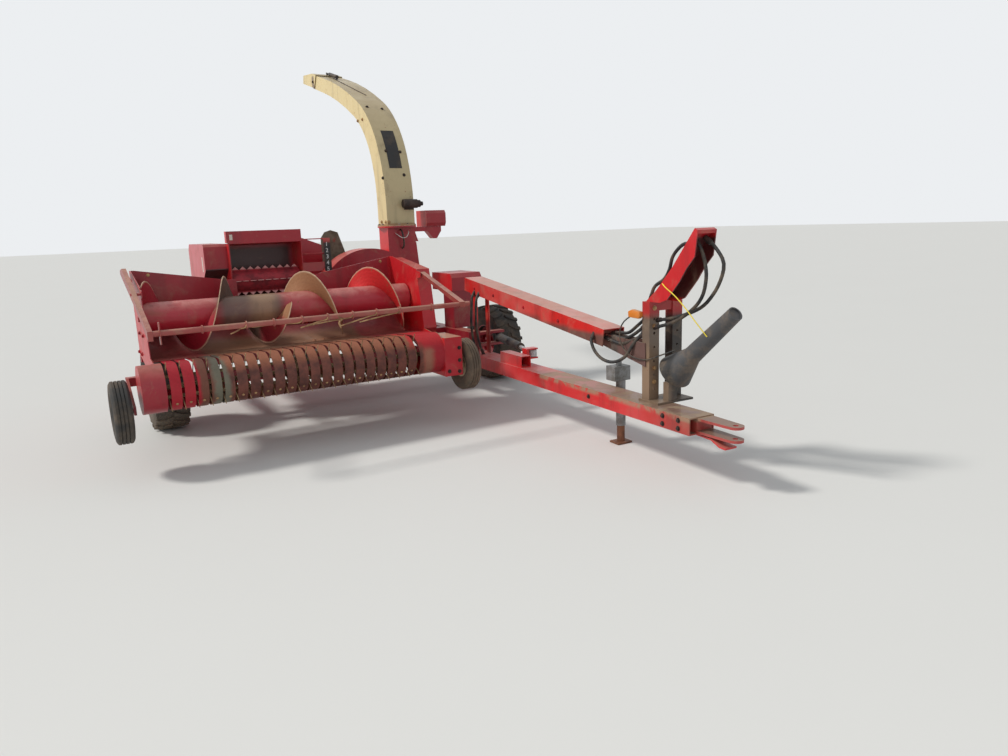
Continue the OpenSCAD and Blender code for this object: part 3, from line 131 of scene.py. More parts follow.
class Finish:
    """A material in the making: each method adds one node and gives back its output."""

    def __init__(self, name, metallic=0.0, coat=0.0):
        self.material = bpy.data.materials.new(name)
        self.material.use_nodes = True
        self.tree = self.material.node_tree
        self.tree.nodes.clear()
        self.out = self.tree.nodes.new("ShaderNodeOutputMaterial")
        self.shader = self.tree.nodes.new("ShaderNodeBsdfPrincipled")
        self.shader.inputs["Metallic"].default_value = metallic
        if coat:
            self.shader.inputs["Coat Weight"].default_value = coat
        self.tree.links.new(self.shader.outputs[0], self.out.inputs["Surface"])
        self.place = self.tree.nodes.new("ShaderNodeTexCoord")
        self.coords = self.place.outputs["Object"]
        self.split = {}

    def feed(self, socket, value):
        if isinstance(value, bpy.types.NodeSocket):
            self.tree.links.new(value, socket)
        else:
            socket.default_value = value

    def noise(self, scale, detail=5.0, rough=0.6, stretch=None, warp=0.0):
        node = self.tree.nodes.new("ShaderNodeTexNoise")
        node.inputs["Scale"].default_value = scale
        node.inputs["Detail"].default_value = detail
        node.inputs["Roughness"].default_value = rough
        node.inputs["Distortion"].default_value = warp
        place = self.coords
        if stretch:
            mapping = self.tree.nodes.new("ShaderNodeMapping")
            mapping.inputs["Scale"].default_value = stretch
            self.tree.links.new(place, mapping.inputs["Vector"])
            place = mapping.outputs[0]
        self.tree.links.new(place, node.inputs["Vector"])
        return node.outputs["Fac"]

    def between(self, value, low, high):
        """0 where value is at low, 1 where it is at high, and smooth from one to the other."""
        node = self.tree.nodes.new("ShaderNodeMapRange")
        node.interpolation_type = "SMOOTHSTEP"
        node.inputs["From Min"].default_value = low
        node.inputs["From Max"].default_value = high
        self.feed(node.inputs["Value"], value)
        return node.outputs[0]

    def math(self, operation, first, second=0.0, clamp=True):
        node = self.tree.nodes.new("ShaderNodeMath")
        node.operation = operation
        node.use_clamp = clamp
        self.feed(node.inputs[0], first)
        self.feed(node.inputs[1], second)
        return node.outputs[0]

    def times(self, *values):
        result = values[0]
        for value in values[1:]:
            result = self.math("MULTIPLY", result, value)
        return result

    def mix(self, amount, under, over):
        node = self.tree.nodes.new("ShaderNodeMix")
        node.data_type = "RGBA"
        self.feed(node.inputs["Factor"], amount)
        self.feed(node.inputs["A"], under)
        self.feed(node.inputs["B"], over)
        return node.outputs["Result"]

    def axis(self, name, of="Object"):
        """One coordinate of the place, or of the surface's direction."""
        if of not in self.split:
            self.split[of] = self.tree.nodes.new("ShaderNodeSeparateXYZ")
            self.tree.links.new(self.place.outputs[of], self.split[of].inputs[0])
        return self.split[of].outputs[name]

    def reach(self, y, z):
        """Distance from a line along X through y and z."""
        sides = []
        for name, value in (("Y", y), ("Z", z)):
            side = self.math("SUBTRACT", self.axis(name), value, clamp=False)
            sides.append(self.math("MULTIPLY", side, side, clamp=False))
        return self.math("SQRT", self.math("ADD", sides[0], sides[1], clamp=False), clamp=False)

    def zone(self, soft=0.015, facing=None, ragged=None, **spans):
        """1 inside the spans of x, y and z, given from the throat, the axle and the ground.

        facing is an axis of the surface's direction and the values at which it is 0 and 1."""
        shift = {"x": THROAT_X, "y": AXLE_Y, "z": 0.0}
        inside = []
        for name, (low, high) in spans.items():
            value = self.axis(name.upper())
            if ragged is not None:
                wave = self.math("MULTIPLY", ragged, 0.12, clamp=False)
                value = self.math("ADD", value, wave, clamp=False)
            inside.append(self.between(value, low + shift[name] - soft, low + shift[name] + soft))
            inside.append(self.between(value, high + shift[name] + soft, high + shift[name] - soft))
        if facing:
            inside.append(self.between(self.axis(facing[0], "Normal"), facing[1], facing[2]))
        return self.times(*inside)

    def colour(self, value):
        self.feed(self.shader.inputs["Base Color"], value)

    def rough(self, value, low, high):
        node = self.tree.nodes.new("ShaderNodeMapRange")
        node.inputs["To Min"].default_value = low
        node.inputs["To Max"].default_value = high
        self.feed(node.inputs["Value"], value)
        self.feed(self.shader.inputs["Roughness"], node.outputs[0])

    def bump(self, height, strength, distance):
        node = self.tree.nodes.new("ShaderNodeBump")
        node.inputs["Strength"].default_value = strength
        node.inputs["Distance"].default_value = distance
        self.feed(node.inputs["Height"], height)
        self.tree.links.new(node.outputs[0], self.shader.inputs["Normal"])


def colours():
    return bpy.context.scene.harvester_colours


def sizes():
    return bpy.context.scene.harvester_sizes


# Roughness of sound paint and of the dust on it
PAINT_ROUGHNESS = 0.32
DUST_ROUGHNESS = 0.8


def paint(name, sound, faded, fade=0.6, dirt=0.35, chips=0.2, zones=(), caked=None):
    """Old paint: bleached and dusty on top, dirty in patches and chipped to rust.

    zones are rows of a colour, its strength and the words of Finish.zone; caked is a zone of thick dirt."""
    tint = colours()
    finish = Finish(name, coat=0.15)
    broad = finish.noise(1.7, 4.0)
    cloudy = finish.noise(7.0, 6.0, 0.65, warp=0.6)
    fine = finish.noise(55.0, 6.0, 0.7)
    streak = finish.noise(9.0, 5.0, 0.6, stretch=(1.0, 1.0, 0.14))
    upward = finish.between(finish.axis("Z", "Normal"), 0.25, 0.95)
    bleached = finish.times(upward, finish.between(cloudy, 0.30, 0.62), fade)
    patchy = finish.times(finish.between(broad, 0.42, 0.75), 0.35 * fade)
    surface = finish.mix(finish.math("MAXIMUM", bleached, patchy), sound, faded)
    for colour, strength, words in zones:
        surface = finish.mix(finish.times(finish.zone(**words), strength), surface, colour)
    shade = finish.times(finish.between(streak, 0.48, 0.72), 0.28)
    surface = finish.mix(shade, surface, tint.grease_and_shade[:])
    dusty = finish.times(finish.between(cloudy, 0.50, 0.78), dirt)
    settled = finish.times(upward, dirt * 0.9, finish.between(broad, 0.3, 0.6))
    dusty = finish.math("MAXIMUM", dusty, settled)
    if caked:
        thick = finish.times(finish.zone(**caked), finish.between(cloudy, 0.40, 0.58), 0.85)
        dusty = finish.math("MAXIMUM", dusty, thick)
    surface = finish.mix(dusty, surface, tint.dirt[:])
    flakes = finish.between(fine, 0.62, 0.67)
    chipped = finish.times(flakes, finish.between(cloudy, 0.46, 0.58), min(1.0, chips * 3))
    surface = finish.mix(chipped, surface, tint.rust[:])
    finish.colour(surface)
    finish.rough(finish.math("ADD", finish.times(cloudy, 0.5), dusty), PAINT_ROUGHNESS, DUST_ROUGHNESS)
    finish.bump(finish.math("ADD", finish.times(fine, 0.4), cloudy), 0.25, 0.004)
    return finish.material


def rusty(name, base, second, patch=0.5, metallic=0.3, left_over=None, zones=(), crest=None):
    """Worn steel with rust in two tones. left_over is old paint that stays in patches.

    crest is the Y and Z of an axis, the radius past which an edge is bright, and the edge's colour."""
    tint = colours()
    finish = Finish(name, metallic=metallic)
    broad = finish.noise(3.4, 5.0, warp=0.4)
    cloudy = finish.noise(14.0, 6.0, 0.7)
    fine = finish.noise(90.0, 5.0, 0.7)
    surface = finish.mix(finish.between(cloudy, 0.36, 0.66), base, second)
    if left_over:
        edge = 0.62 - 0.25 * patch
        surface = finish.mix(finish.between(broad, edge, edge + 0.08), surface, left_over)
    for colour, strength, words in zones:
        wavering = finish.math("SUBTRACT", broad, 0.5, clamp=False)
        amount = finish.times(finish.zone(ragged=wavering, **words), strength)
        surface = finish.mix(finish.times(amount, finish.between(cloudy, 0.24, 0.42)), surface, colour)
    if crest:
        y, z, radius, edge_colour = crest
        worn = finish.between(finish.reach(y + AXLE_Y, z), radius - 0.010, radius + 0.004)
        surface = finish.mix(finish.times(worn, 0.8), surface, edge_colour)
    surface = finish.mix(finish.times(finish.between(fine, 0.55, 0.72), 0.5), surface, tint.rust_dark[:])
    finish.colour(surface)
    finish.rough(cloudy, 0.42, 0.85)
    finish.bump(finish.math("ADD", finish.times(fine, 0.6), cloudy), 0.35, 0.003)
    return finish.material


def rubber(name, dust=0.7):
    """Tyre rubber with dust in patches and near the ground. Above 1, dust lies all over."""
    tint = colours()
    finish = Finish(name)
    cloudy = finish.noise(6.0, 6.0, 0.65)
    fine = finish.noise(70.0, 5.0, 0.7)
    low = finish.between(finish.axis("Z"), 0.35, 0.02)
    dusty = finish.times(finish.between(cloudy, 0.38, 0.72), 0.45)
    dusty = finish.math("MAXIMUM", dusty, finish.times(low, finish.between(fine, 0.3, 0.7)))
    if dust > 1:
        dusty = finish.math("ADD", dusty, dust - 1)
    finish.colour(finish.mix(finish.times(dusty, min(dust, 1.0)), tint.rubber[:], tint.dirt[:]))
    finish.rough(cloudy, 0.72, 0.95)
    finish.bump(fine, 0.3, 0.002)
    return finish.material


def plain_plastic(name, base, dusty_amount=0.3, zones=()):
    """Smooth plastic or enamel with dust in patches."""
    tint = colours()
    finish = Finish(name)
    cloudy = finish.noise(9.0, 6.0, 0.65)
    fine = finish.noise(120.0, 4.0, 0.6)
    dusty = finish.times(finish.between(cloudy, 0.42, 0.7), dusty_amount)
    surface = base
    for colour, strength, words in zones:
        surface = finish.mix(finish.times(finish.zone(**words), strength), surface, colour)
    finish.colour(finish.mix(dusty, surface, tint.dirt[:]))
    finish.rough(cloudy, 0.45, 0.8)
    finish.bump(fine, 0.15, 0.001)
    return finish.material


# The CAD nodes that each finish goes on
NODE_FINISH = {
    "paint_red": ("feed_housing", "cutter_housing", "cross_conveyor", "blower_housing", "spout_tower",
                  "gear_shield_right"),
    "paint_trough": ("header_trough",),
    "paint_shield": ("drive_shield_left",),
    "paint_motor_box": ("spout_motor_box",),
    # Pieces low under the machine, whose darker red is in part painted shade
    "paint_deep": ("main_frame", "axle", "gearbox", "wheel_arms", "rim_left", "rim_right"),
    "paint_drawbar": ("drawbar_beam",),
    "paint_shaft_cover": ("shaft_cover",),
    "paint_mast": ("mast",),
    "paint_arm": ("mast_arm",),
    "paint_guard": ("wind_guard",),
    "paint_auger": ("auger_tube",),
    "paint_cream": ("spout", "spout_cap"),
    "black_scale": ("roll_scale_bar",),
    "steel_flight": ("auger_flights",),
    "steel_band": ("strippers",),
    "steel_tine": ("tine_reel",),
    "steel_saw": ("feed_roll_upper",),
    "steel_roll": ("feed_roll_lower", "cutter_drum", "blower_rotor"),
    "steel_leg": ("jack_leg",),
    "steel_plate": ("access_plate",),
    "steel_jack": ("jack_tube",),
    "steel_rod": ("swing_rod", "lift_rod"),
    "cylinder_black": ("swing_barrel", "lift_barrel"),
    "shield_plastic": ("shaft_shield",),
    "tyre_worn": ("tyre_left", "tyre_right", "gauge_tyre_left", "gauge_tyre_right"),
    "paint_rim": ("gauge_rim_left", "gauge_rim_right"),
}


def red_paints(tint):
    """Finishes of the painted pieces and labels."""
    red = tint.red[:]
    faded = tint.faded[:]
    deep_shade = tint.deep_shade[:]
    # Red paint as the sun lights it, used as painted light
    bright = linear(214, 30, 34)
    # Crimson of the red paint in shade: painted shade on faces turned to the front and over the trough
    shaded_crimson = linear(150, 12, 34)
    pink = linear(214, 128, 130)
    tan = linear(176, 140, 106)
    brown = linear(104, 62, 46)
    grey_brown = linear(92, 74, 66)
    black = tint.grease_and_shade[:]
    # Faces turned to the left, which get painted light
    side = ("X", -0.5, -0.9)
    top = ("Z", 0.4, 0.8)
    return [
        paint("paint_red", red, faded, zones=(
            # Painted shade: faces turned to the front get the shaded crimson
            (shaded_crimson, 0.88, dict(facing=("Y", -0.5, -0.9))),
            # Painted light: faces turned to the left get the bright red
            (bright, 0.7, dict(facing=side)),
            # Painted shade: the inside of the throat is painted black
            (black, 0.9, dict(x=(-0.27, 0.27), y=(-0.29, 0.6), z=(0.9, 1.45), soft=0.03)))),
        # The trough is shaded crimson all over as painted shade, with painted light on its left faces and
        # its right end
        paint("paint_trough", shaded_crimson, linear(198, 84, 90), dirt=0.4, chips=0.35, zones=(
            # Painted light on the header's right end
            (bright, 0.4, dict(x=(1.0, 1.25), z=(0.74, 1.5))),
            (linear(178, 24, 38), 0.9, dict(x=(1.02, 1.25), z=(0.3, 0.72))),
            # Painted light: the trough's faces turned to the left
            (bright, 0.5, dict(facing=side)),
            (linear(158, 122, 92), 0.85, dict(x=(-0.66, 0.60), y=(-1.05, -0.5), z=(0.66, 0.765), soft=0.04)),
            (tan, 0.8, dict(x=(1.0, 1.25), y=(-1.6, -1.0), z=(0.69, 0.75), facing=top)))),
        # Painted light and shade: the shield and the motor box are shaded crimson, with painted light on
        # their left faces
        paint("paint_shield", linear(150, 14, 34), faded, zones=(
            (linear(206, 92, 98), 0.75, dict(facing=side)),
            (black, 0.94, dict(x=(-0.478, -0.30), z=(1.0, 1.288), facing=("Y", -0.3, -0.6), soft=0.006)))),
        paint("paint_motor_box", linear(150, 18, 32), faded, zones=(
            (linear(216, 44, 34), 0.85, dict(facing=side)),)),
        # Painted shade in part: the frame, axle, gearbox, wheel arms and rims get the darker red
        paint("paint_deep", deep_shade, red, fade=0.4, dirt=0.5),
        paint("paint_drawbar", linear(206, 34, 36), pink, fade=0.95, dirt=0.3, zones=(
            (linear(150, 110, 96), 0.7, dict(y=(-3.3, -1.9), soft=0.35, facing=top)),
            (linear(122, 106, 92), 0.9, dict(y=(-4.1, -2.7), soft=0.35, facing=top)),
            (brown, 0.45, dict(y=(-4.1, -3.2), soft=0.3))),
            caked=dict(y=(-3.6, -1.9), z=(0.385, 0.43), soft=0.014)),
        paint("paint_shaft_cover", linear(206, 36, 32), linear(212, 140, 132), fade=1.0, zones=(
            (linear(204, 150, 136), 0.6, dict(facing=top)),
            (grey_brown, 0.9, dict(y=(-2.8, -2.3), z=(0.5, 0.815), soft=0.02)),
            (grey_brown, 0.85, dict(y=(-2.3, -1.9), z=(0.5, 0.83), soft=0.025)),
            (grey_brown, 0.7, dict(y=(-1.9, -1.5), z=(0.5, 0.865), soft=0.03)),
            (linear(88, 78, 72), 0.92, dict(y=(-3.2, -2.725), soft=0.006)),
            (black, 0.7, dict(y=(-2.8, -0.5), z=(0.4, 0.715), soft=0.03)))),
        paint("paint_mast", linear(112, 96, 82), grey_brown, dirt=0.5, chips=0.6, zones=(
            (black, 0.92, dict(x=(1.70, 2.1), z=(0.3, 1.0))),
            (linear(176, 24, 30), 0.9, dict(x=(1.4, 2.1), z=(0.97, 1.1), soft=0.03)),
            (tan, 0.4, dict(x=(1.4, 1.66), z=(0.42, 0.75), soft=0.1)))),
        paint("paint_arm", linear(178, 22, 34), faded, fade=0.5, zones=(
            # Painted light: the arm's faces turned to the left are lighter
            (linear(204, 30, 34), 0.7, dict(facing=side)),
            (black, 0.88, dict(x=(1.595, 1.747), z=(1.04, 1.46), facing=("Y", -0.35, -0.6))),
            (black, 0.9, dict(x=(1.67, 1.80), z=(1.08, 1.46), facing=side)))),
        paint("paint_guard", linear(148, 62, 56), linear(186, 126, 108), fade=0.9, dirt=0.5, chips=0.7),
        paint("paint_auger", linear(172, 30, 48), linear(206, 124, 122), fade=1.0, chips=0.45, zones=(
            (grey_brown, 0.9, dict(x=(-0.52, -0.06), soft=0.05)),
            (tan, 0.5, dict(x=(-0.30, -0.10), soft=0.05)))),
        paint("paint_rim", tint.rim[:], tint.dirt[:], dirt=0.6, chips=0.3),
        # Painted light and shade: the spout's left faces get the sunlit cream, and the rest keep a darker
        # cream as painted shade
        paint("paint_cream", linear(190, 174, 134), tint.cream_worn[:], dirt=0.3, chips=0.35, zones=(
            (tint.cream_sunlit[:], 0.95, dict(facing=side)),
            (linear(150, 96, 54), 0.7, dict(z=(1.57, 1.605), soft=0.012)),
            (linear(112, 84, 62), 0.85, dict(y=(1.925, 1.99), z=(3.0, 3.235), soft=0.01)))),
        paint("paint_fitting", linear(196, 30, 34), faded, dirt=0.45, chips=0.5),
        paint("paint_label", linear(222, 216, 204), linear(186, 178, 166), fade=0.8, chips=0.1),
        paint("paint_orange", linear(214, 120, 34), linear(206, 150, 80), dirt=0.3, chips=0.2),
    ]


def steels_and_rubbers(tint):
    """Finishes of bare steel, rubber and plastic."""
    rust = tint.rust[:]
    dark_rust = tint.rust_dark[:]
    red = tint.red[:]
    top = ("Z", 0.3, 0.85)
    return [
        rusty("steel_flight", linear(142, 96, 66), linear(104, 68, 50), 0.35, 0.25, crest=(
            -0.719, 0.989, 0.262, linear(206, 178, 150)), zones=(
            (linear(160, 18, 42), 0.95, dict(x=(-1.2, -0.58), soft=0.03)),
            (linear(84, 70, 64), 0.85, dict(x=(-0.56, -0.18), soft=0.04)),
            (linear(166, 118, 82), 0.8, dict(x=(-0.16, 0.50), soft=0.04)),
            (linear(150, 18, 40), 0.9, dict(x=(-0.22, 0.16), z=(0.6, 0.93), soft=0.03)),
            (linear(206, 28, 34), 0.95, dict(x=(0.53, 1.2), soft=0.03)))),
        rusty("steel_band", linear(116, 64, 52), linear(84, 48, 42), 0.1, 0.2, zones=(
            (linear(172, 108, 76), 0.6, dict(x=(-0.64, 0.8), facing=top)),
            (linear(164, 22, 40), 0.9, dict(x=(0.845, 1.2))),
            (linear(150, 116, 92), 0.75, dict(x=(0.845, 0.93), z=(0.3, 0.64), soft=0.03)),
            (linear(168, 22, 40), 0.95, dict(x=(-1.18, -0.793))),
            (linear(112, 66, 50), 0.8, dict(x=(-0.793, -0.708))),
            (linear(112, 112, 96), 0.85, dict(x=(-0.708, -0.623))),
            (linear(186, 34, 40), 0.85, dict(x=(0.735, 1.2), facing=top)))),
        rusty("steel_tine", linear(176, 152, 114), linear(112, 80, 56), metallic=0.2),
        rusty("steel_saw", linear(160, 40, 52), linear(112, 28, 38), 0.4, 0.15, crest=(
            -0.150, 1.175, 0.104, linear(226, 176, 172))),
        rusty("steel_roll", linear(104, 76, 66), linear(70, 48, 42)),
        rusty("steel_leg", linear(130, 84, 58), linear(96, 62, 46), metallic=0.3),
        rusty("steel_plate", linear(112, 104, 88), linear(84, 76, 62), 0.3, 0.15, linear(140, 36, 34)),
        rusty("steel_jack", linear(150, 152, 152), linear(118, 116, 112), 0.2, 0.5, rust),
        rusty("steel_rod", linear(196, 196, 198), linear(158, 156, 154), 0.1, 0.9, dark_rust),
        rusty("steel_bent", linear(186, 150, 106), linear(124, 88, 60), metallic=0.2),
        rusty("steel_bolt", linear(150, 146, 140), linear(110, 92, 78), metallic=0.5),
        rusty("steel_dark", linear(64, 50, 44), linear(40, 32, 30), metallic=0.3),
        rusty("red_bolt", linear(168, 26, 34), linear(120, 22, 30), 0.3, 0.1, red),
        plain_plastic("cylinder_black", linear(34, 34, 36)),
        plain_plastic("black_scale", linear(26, 26, 28), 0.25, zones=(
            (linear(186, 60, 66), 0.95, dict(z=(1.466, 1.7))),
            (linear(160, 34, 44), 0.9, dict(x=(0.20, 0.499))))),
        plain_plastic("shield_plastic", linear(70, 70, 72), 0.35, zones=(
            (linear(24, 24, 25), 0.9, dict(y=(-3.30, -3.16), soft=0.02)),)),
        plain_plastic("black_hose", linear(28, 28, 30), 0.35),
        plain_plastic("white_wire", linear(214, 212, 206), 0.2),
        plain_plastic("yellow_twine", linear(238, 214, 66), 0.1),
        plain_plastic("white_digit", linear(232, 232, 230), 0.1),
        plain_plastic("panel_black", linear(24, 24, 26), 0.12),
        rubber("tyre_worn"),
        rubber("tyre_dusty", 1.25),
    ]


class HARVESTER_OT_dress_frame(bpy.types.Operator):
    """Give every carried-over CAD piece its paint, steel or rubber"""
    bl_idname = "harvester.dress_frame"
    bl_label = "Paint the Frame"

    def execute(self, context):
        made = red_paints(colours()) + steels_and_rubbers(colours())
        finishes = {finish.name: finish for finish in made}
        for name, nodes in NODE_FINISH.items():
            for node in nodes:
                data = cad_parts[node].data
                data.materials.clear()
                data.materials.append(finishes[name])
        return {"FINISHED"}


# Modelling helpers. A bolt's washer and inset are shares of the head's radius
WASHER_SHARE = 1.45
CHAMFER_SHARE = 0.18
STEPS_A_SPAN = 24


def clear():
    if bpy.context.mode != "OBJECT":
        bpy.ops.object.mode_set(mode="OBJECT")
    bpy.ops.object.select_all(action="DESELECT")


def only(piece):
    clear()
    piece.select_set(True)
    bpy.context.view_layer.objects.active = piece


def bake(piece):
    """Put a piece's place, turn and size into its mesh."""
    only(piece)
    bpy.ops.object.transform_apply(location=True, rotation=True, scale=True)


def edit_faces(piece, test):
    """Edit mode with the faces selected whose centre and direction pass the test."""
    only(piece)
    for part in (piece.data.vertices, piece.data.edges, piece.data.polygons):
        part.foreach_set("select", [False] * len(part))
    for face in piece.data.polygons:
        face.select = test(face.center, face.normal)
    bpy.ops.object.mode_set(mode="EDIT")
    bpy.ops.mesh.select_mode(type="FACE")


def apply_modifier(piece, kind, **values):
    only(piece)
    modifier = piece.modifiers.new(kind.lower(), kind)
    for key, value in values.items():
        setattr(modifier, key, value)
    bpy.ops.object.modifier_apply(modifier=modifier.name)


def pointing(place, normal, along=None):
    """The turn and place that send local Z to normal and local Y near along."""
    normal = Vector(normal).normalized()
    along = Vector(along) if along is not None else (UP if abs(normal.z) < 0.9 else BEHIND)
    across = along.cross(normal).normalized()
    return Matrix.Translation(place) @ Matrix((across, normal.cross(across), normal)).transposed().to_4x4()


def joined(pieces):
    only(pieces[0])
    for piece in pieces:
        piece.select_set(True)
    bpy.ops.object.join()
    return bpy.context.object


def copies(master, places):
    """Copies of a finished master, each with its own mesh, joined; the master is deleted."""
    made = []
    for place in places:
        copy = master.copy()
        copy.data = master.data.copy()
        bpy.context.collection.objects.link(copy)
        copy.matrix_world = place @ master.matrix_world
        bake(copy)
        made.append(copy)
    bpy.data.objects.remove(master)
    return joined(made)


def settle(piece, name, finish, body, smooth=35):
    """Name a piece, paint it and let it ride on its body."""
    bake(piece)
    if smooth:
        bpy.ops.object.shade_smooth_by_angle(angle=math.radians(smooth))
    piece.name = name
    piece.data.name = name
    piece.data.materials.clear()
    piece.data.materials.append(bpy.data.materials[finish])
    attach(piece, body)
    return piece


def flat_plate(outline, thickness, edge=0.0015):
    """A plate with this outline in X and Y, whose thickness rises from Z 0."""
    clear()
    bpy.ops.mesh.primitive_circle_add(vertices=len(outline), fill_type="NGON")
    piece = bpy.context.object
    for vertex, place in zip(piece.data.vertices, outline):
        vertex.co = (place[0], place[1], 0.0)
    edit_faces(piece, lambda centre, normal: True)
    bpy.ops.mesh.normals_make_consistent(inside=False)
    bpy.ops.object.mode_set(mode="OBJECT")
    if piece.data.polygons[0].normal.z > 0:
        only(piece)
        bpy.ops.object.mode_set(mode="EDIT")
        bpy.ops.mesh.select_all(action="SELECT")
        bpy.ops.mesh.flip_normals()
        bpy.ops.object.mode_set(mode="OBJECT")
    apply_modifier(piece, "SOLIDIFY", thickness=thickness, offset=-1.0)
    apply_modifier(piece, "BEVEL", width=edge, segments=2, limit_method="ANGLE")
    return piece


def bolt_head(radius):
    """A six-sided head with a chamfer on a round washer, with its foot at Z 0."""
    clear()
    bpy.ops.mesh.primitive_cylinder_add(vertices=14, radius=radius * WASHER_SHARE, depth=radius * 0.5,
                                        location=(0, 0, 0))
    washer = bpy.context.object
    edit_faces(washer, lambda centre, normal: normal.z > 0.9)
    bpy.ops.mesh.inset(thickness=radius * CHAMFER_SHARE, depth=0)
    bpy.ops.object.mode_set(mode="OBJECT")
    clear()
    bpy.ops.mesh.primitive_cylinder_add(vertices=6, radius=radius, depth=radius * 0.8,
                                        location=(0, 0, radius * 0.60))
    head = bpy.context.object
    edit_faces(head, lambda centre, normal: normal.z > 0.9)
    bpy.ops.mesh.inset(thickness=radius * CHAMFER_SHARE, depth=radius * 0.12)
    bpy.ops.object.mode_set(mode="OBJECT")
    bake(washer)
    bake(head)
    return joined([washer, head])


def bolts(name, places, body, finish="steel_bolt", radius=None):
    """Bolt heads at rows of a place and the direction that they face."""
    master = bolt_head(radius or sizes().bolt_radius)
    piece = copies(master, [pointing(place, facing) for place, facing in places])
    return settle(piece, name, finish, body, smooth=30)


def smooth_path(points, count):
    """Points on one smooth curve through the points given, evenly spaced."""
    points = [Vector(point) for point in points]
    ends = [points[0] * 2 - points[1]] + points + [points[-1] * 2 - points[-2]]
    dense = []
    for i in range(1, len(ends) - 2):
        before, start, stop, after = ends[i - 1:i + 3]
        for k in range(STEPS_A_SPAN):
            t = k / STEPS_A_SPAN
            dense.append(0.5 * (2 * start + (stop - before) * t
                                + (2 * before - 5 * start + 4 * stop - after) * t * t
                                + (3 * start - before - 3 * stop + after) * t ** 3))
    dense.append(points[-1])
    run = [0.0]
    for first, second in zip(dense, dense[1:]):
        run.append(run[-1] + (second - first).length)
    path = []
    for k in range(count):
        goal = run[-1] * k / (count - 1)
        i = max(1, next((j for j, value in enumerate(run) if value >= goal - 1e-9), len(run) - 1))
        share = (goal - run[i - 1]) / max(1e-9, run[i] - run[i - 1])
        path.append(dense[i - 1].lerp(dense[i], share))
    return path


def round_curve(path, radius):
    """A round rod or hose of one open spline along the path."""
    clear()
    data = bpy.data.curves.new("path", "CURVE")
    data.dimensions = "3D"
    data.bevel_depth = radius
    data.bevel_resolution = 3
    data.use_fill_caps = True
    spline = data.splines.new("POLY")
    spline.points.add(len(path) - 1)
    for point, place in zip(spline.points, path):
        point.co = (*place, 1.0)
    piece = bpy.data.objects.new("path", data)
    bpy.context.collection.objects.link(piece)
    return piece


def bent_rod(points, radius, count=0):
    """A bent steel rod as a mesh, smooth when count points are asked for."""
    path = smooth_path(points, count) if count else [Vector(point) for point in points]
    only(round_curve(path, radius))
    bpy.ops.object.convert(target="MESH")
    return bpy.context.object


def free_cord(name, points, diameter, body, finish="black_hose", count=28):
    """A free hose or wire whose two ends go into the object."""
    path = smooth_path(points, count)
    piece = round_curve(path, diameter / 2)
    piece.name = name
    piece.data.name = name
    piece.data.materials.append(bpy.data.materials[finish])
    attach(piece, body)
    return piece


def landed(node, origin, way):
    """Where a line from origin meets a CAD node."""
    met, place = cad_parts[node].ray_cast(Vector(origin), Vector(way))[:2]
    if not met:
        raise RuntimeError("no surface of %s ahead of %s" % (node, tuple(origin)))
    return place


def sight(across, down):
    """The way from the camera through a pixel of the photo's frame."""
    turn = camera_matrix(sizes().camera_height).to_3x3()
    x = (across - PHOTO_WIDTH / 2) / FOCAL_PIXELS
    y = (PHOTO_HEIGHT / 2 - down) / FOCAL_PIXELS
    return (turn @ Vector((x, y, -1.0))).normalized()


def seen_on(node, across, down):
    """Place and direction of a CAD node's surface where the camera sees it at a pixel."""
    eye = camera_matrix(sizes().camera_height).translation
    met, place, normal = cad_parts[node].ray_cast(eye, sight(across, down))[:3]
    if not met:
        raise RuntimeError("%s isn't at pixel %s" % (node, (across, down)))
    return place, normal


def bolts_seen(name, node, pixels, body, finish):
    """Bolt heads on a CAD node at pixels of the photo's frame."""
    return bolts(name, [seen_on(node, *pixel) for pixel in pixels], body, finish)


def bolts_on(name, node, origins, way, body, finish="steel_bolt", radius=None):
    """Bolt heads where lines along way from the origins meet a CAD node."""
    way = Vector(way)
    places = [(landed(node, origin, way), -way) for origin in origins]
    return bolts(name, places, body, finish, radius)


def ring_places(centre, first, second, radius, count):
    """Places evenly round a circle in the plane of two directions."""
    turns = [2 * math.pi * k / count for k in range(count)]
    return [centre + first * (radius * math.cos(turn)) + second * (radius * math.sin(turn))
            for turn in turns]


def rectangle(across, tall):
    """The corners of a plate of this size about its middle."""
    x = across / 2
    y = tall / 2
    return [(-x, -y), (x, -y), (x, y), (-x, y)]


# Tyres: a spun carcass, with lugs on the main wheels and ribs on the gauge wheels
LUGS_A_SIDE = 22
NUT_CIRCLE = 0.085


def mirrored(half_profile):
    """The other half of a profile, from its crown back to its foot."""
    return [(-across, radius) for across, radius in reversed(half_profile)]


def spun_ring(profile, centre, steps):
    """A closed ring about an axis along X, from a closed outline of width and radius."""
    clear()
    bpy.ops.mesh.primitive_circle_add(vertices=len(profile), fill_type="NOTHING")
    ring = bpy.context.object
    for vertex, (across, radius) in zip(ring.data.vertices, profile):
        vertex.co = (across, 0.0, radius)
    only(ring)
    bpy.ops.object.mode_set(mode="EDIT")
    bpy.ops.mesh.select_all(action="SELECT")
    bpy.ops.mesh.spin(steps=steps, angle=2 * math.pi, center=(0, 0, 0), axis=(1, 0, 0))
    bpy.ops.mesh.select_all(action="SELECT")
    bpy.ops.mesh.remove_doubles(threshold=0.0001)
    bpy.ops.mesh.normals_make_consistent(inside=False)
    bpy.ops.object.mode_set(mode="OBJECT")
    ring.location = centre
    bake(ring)
    return ring


def node_wheel(node):
    """Middle, radius and width of a wheel's node."""
    low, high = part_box(node)
    return middle(node), (high[2] - low[2]) / 2, high[0] - low[0]


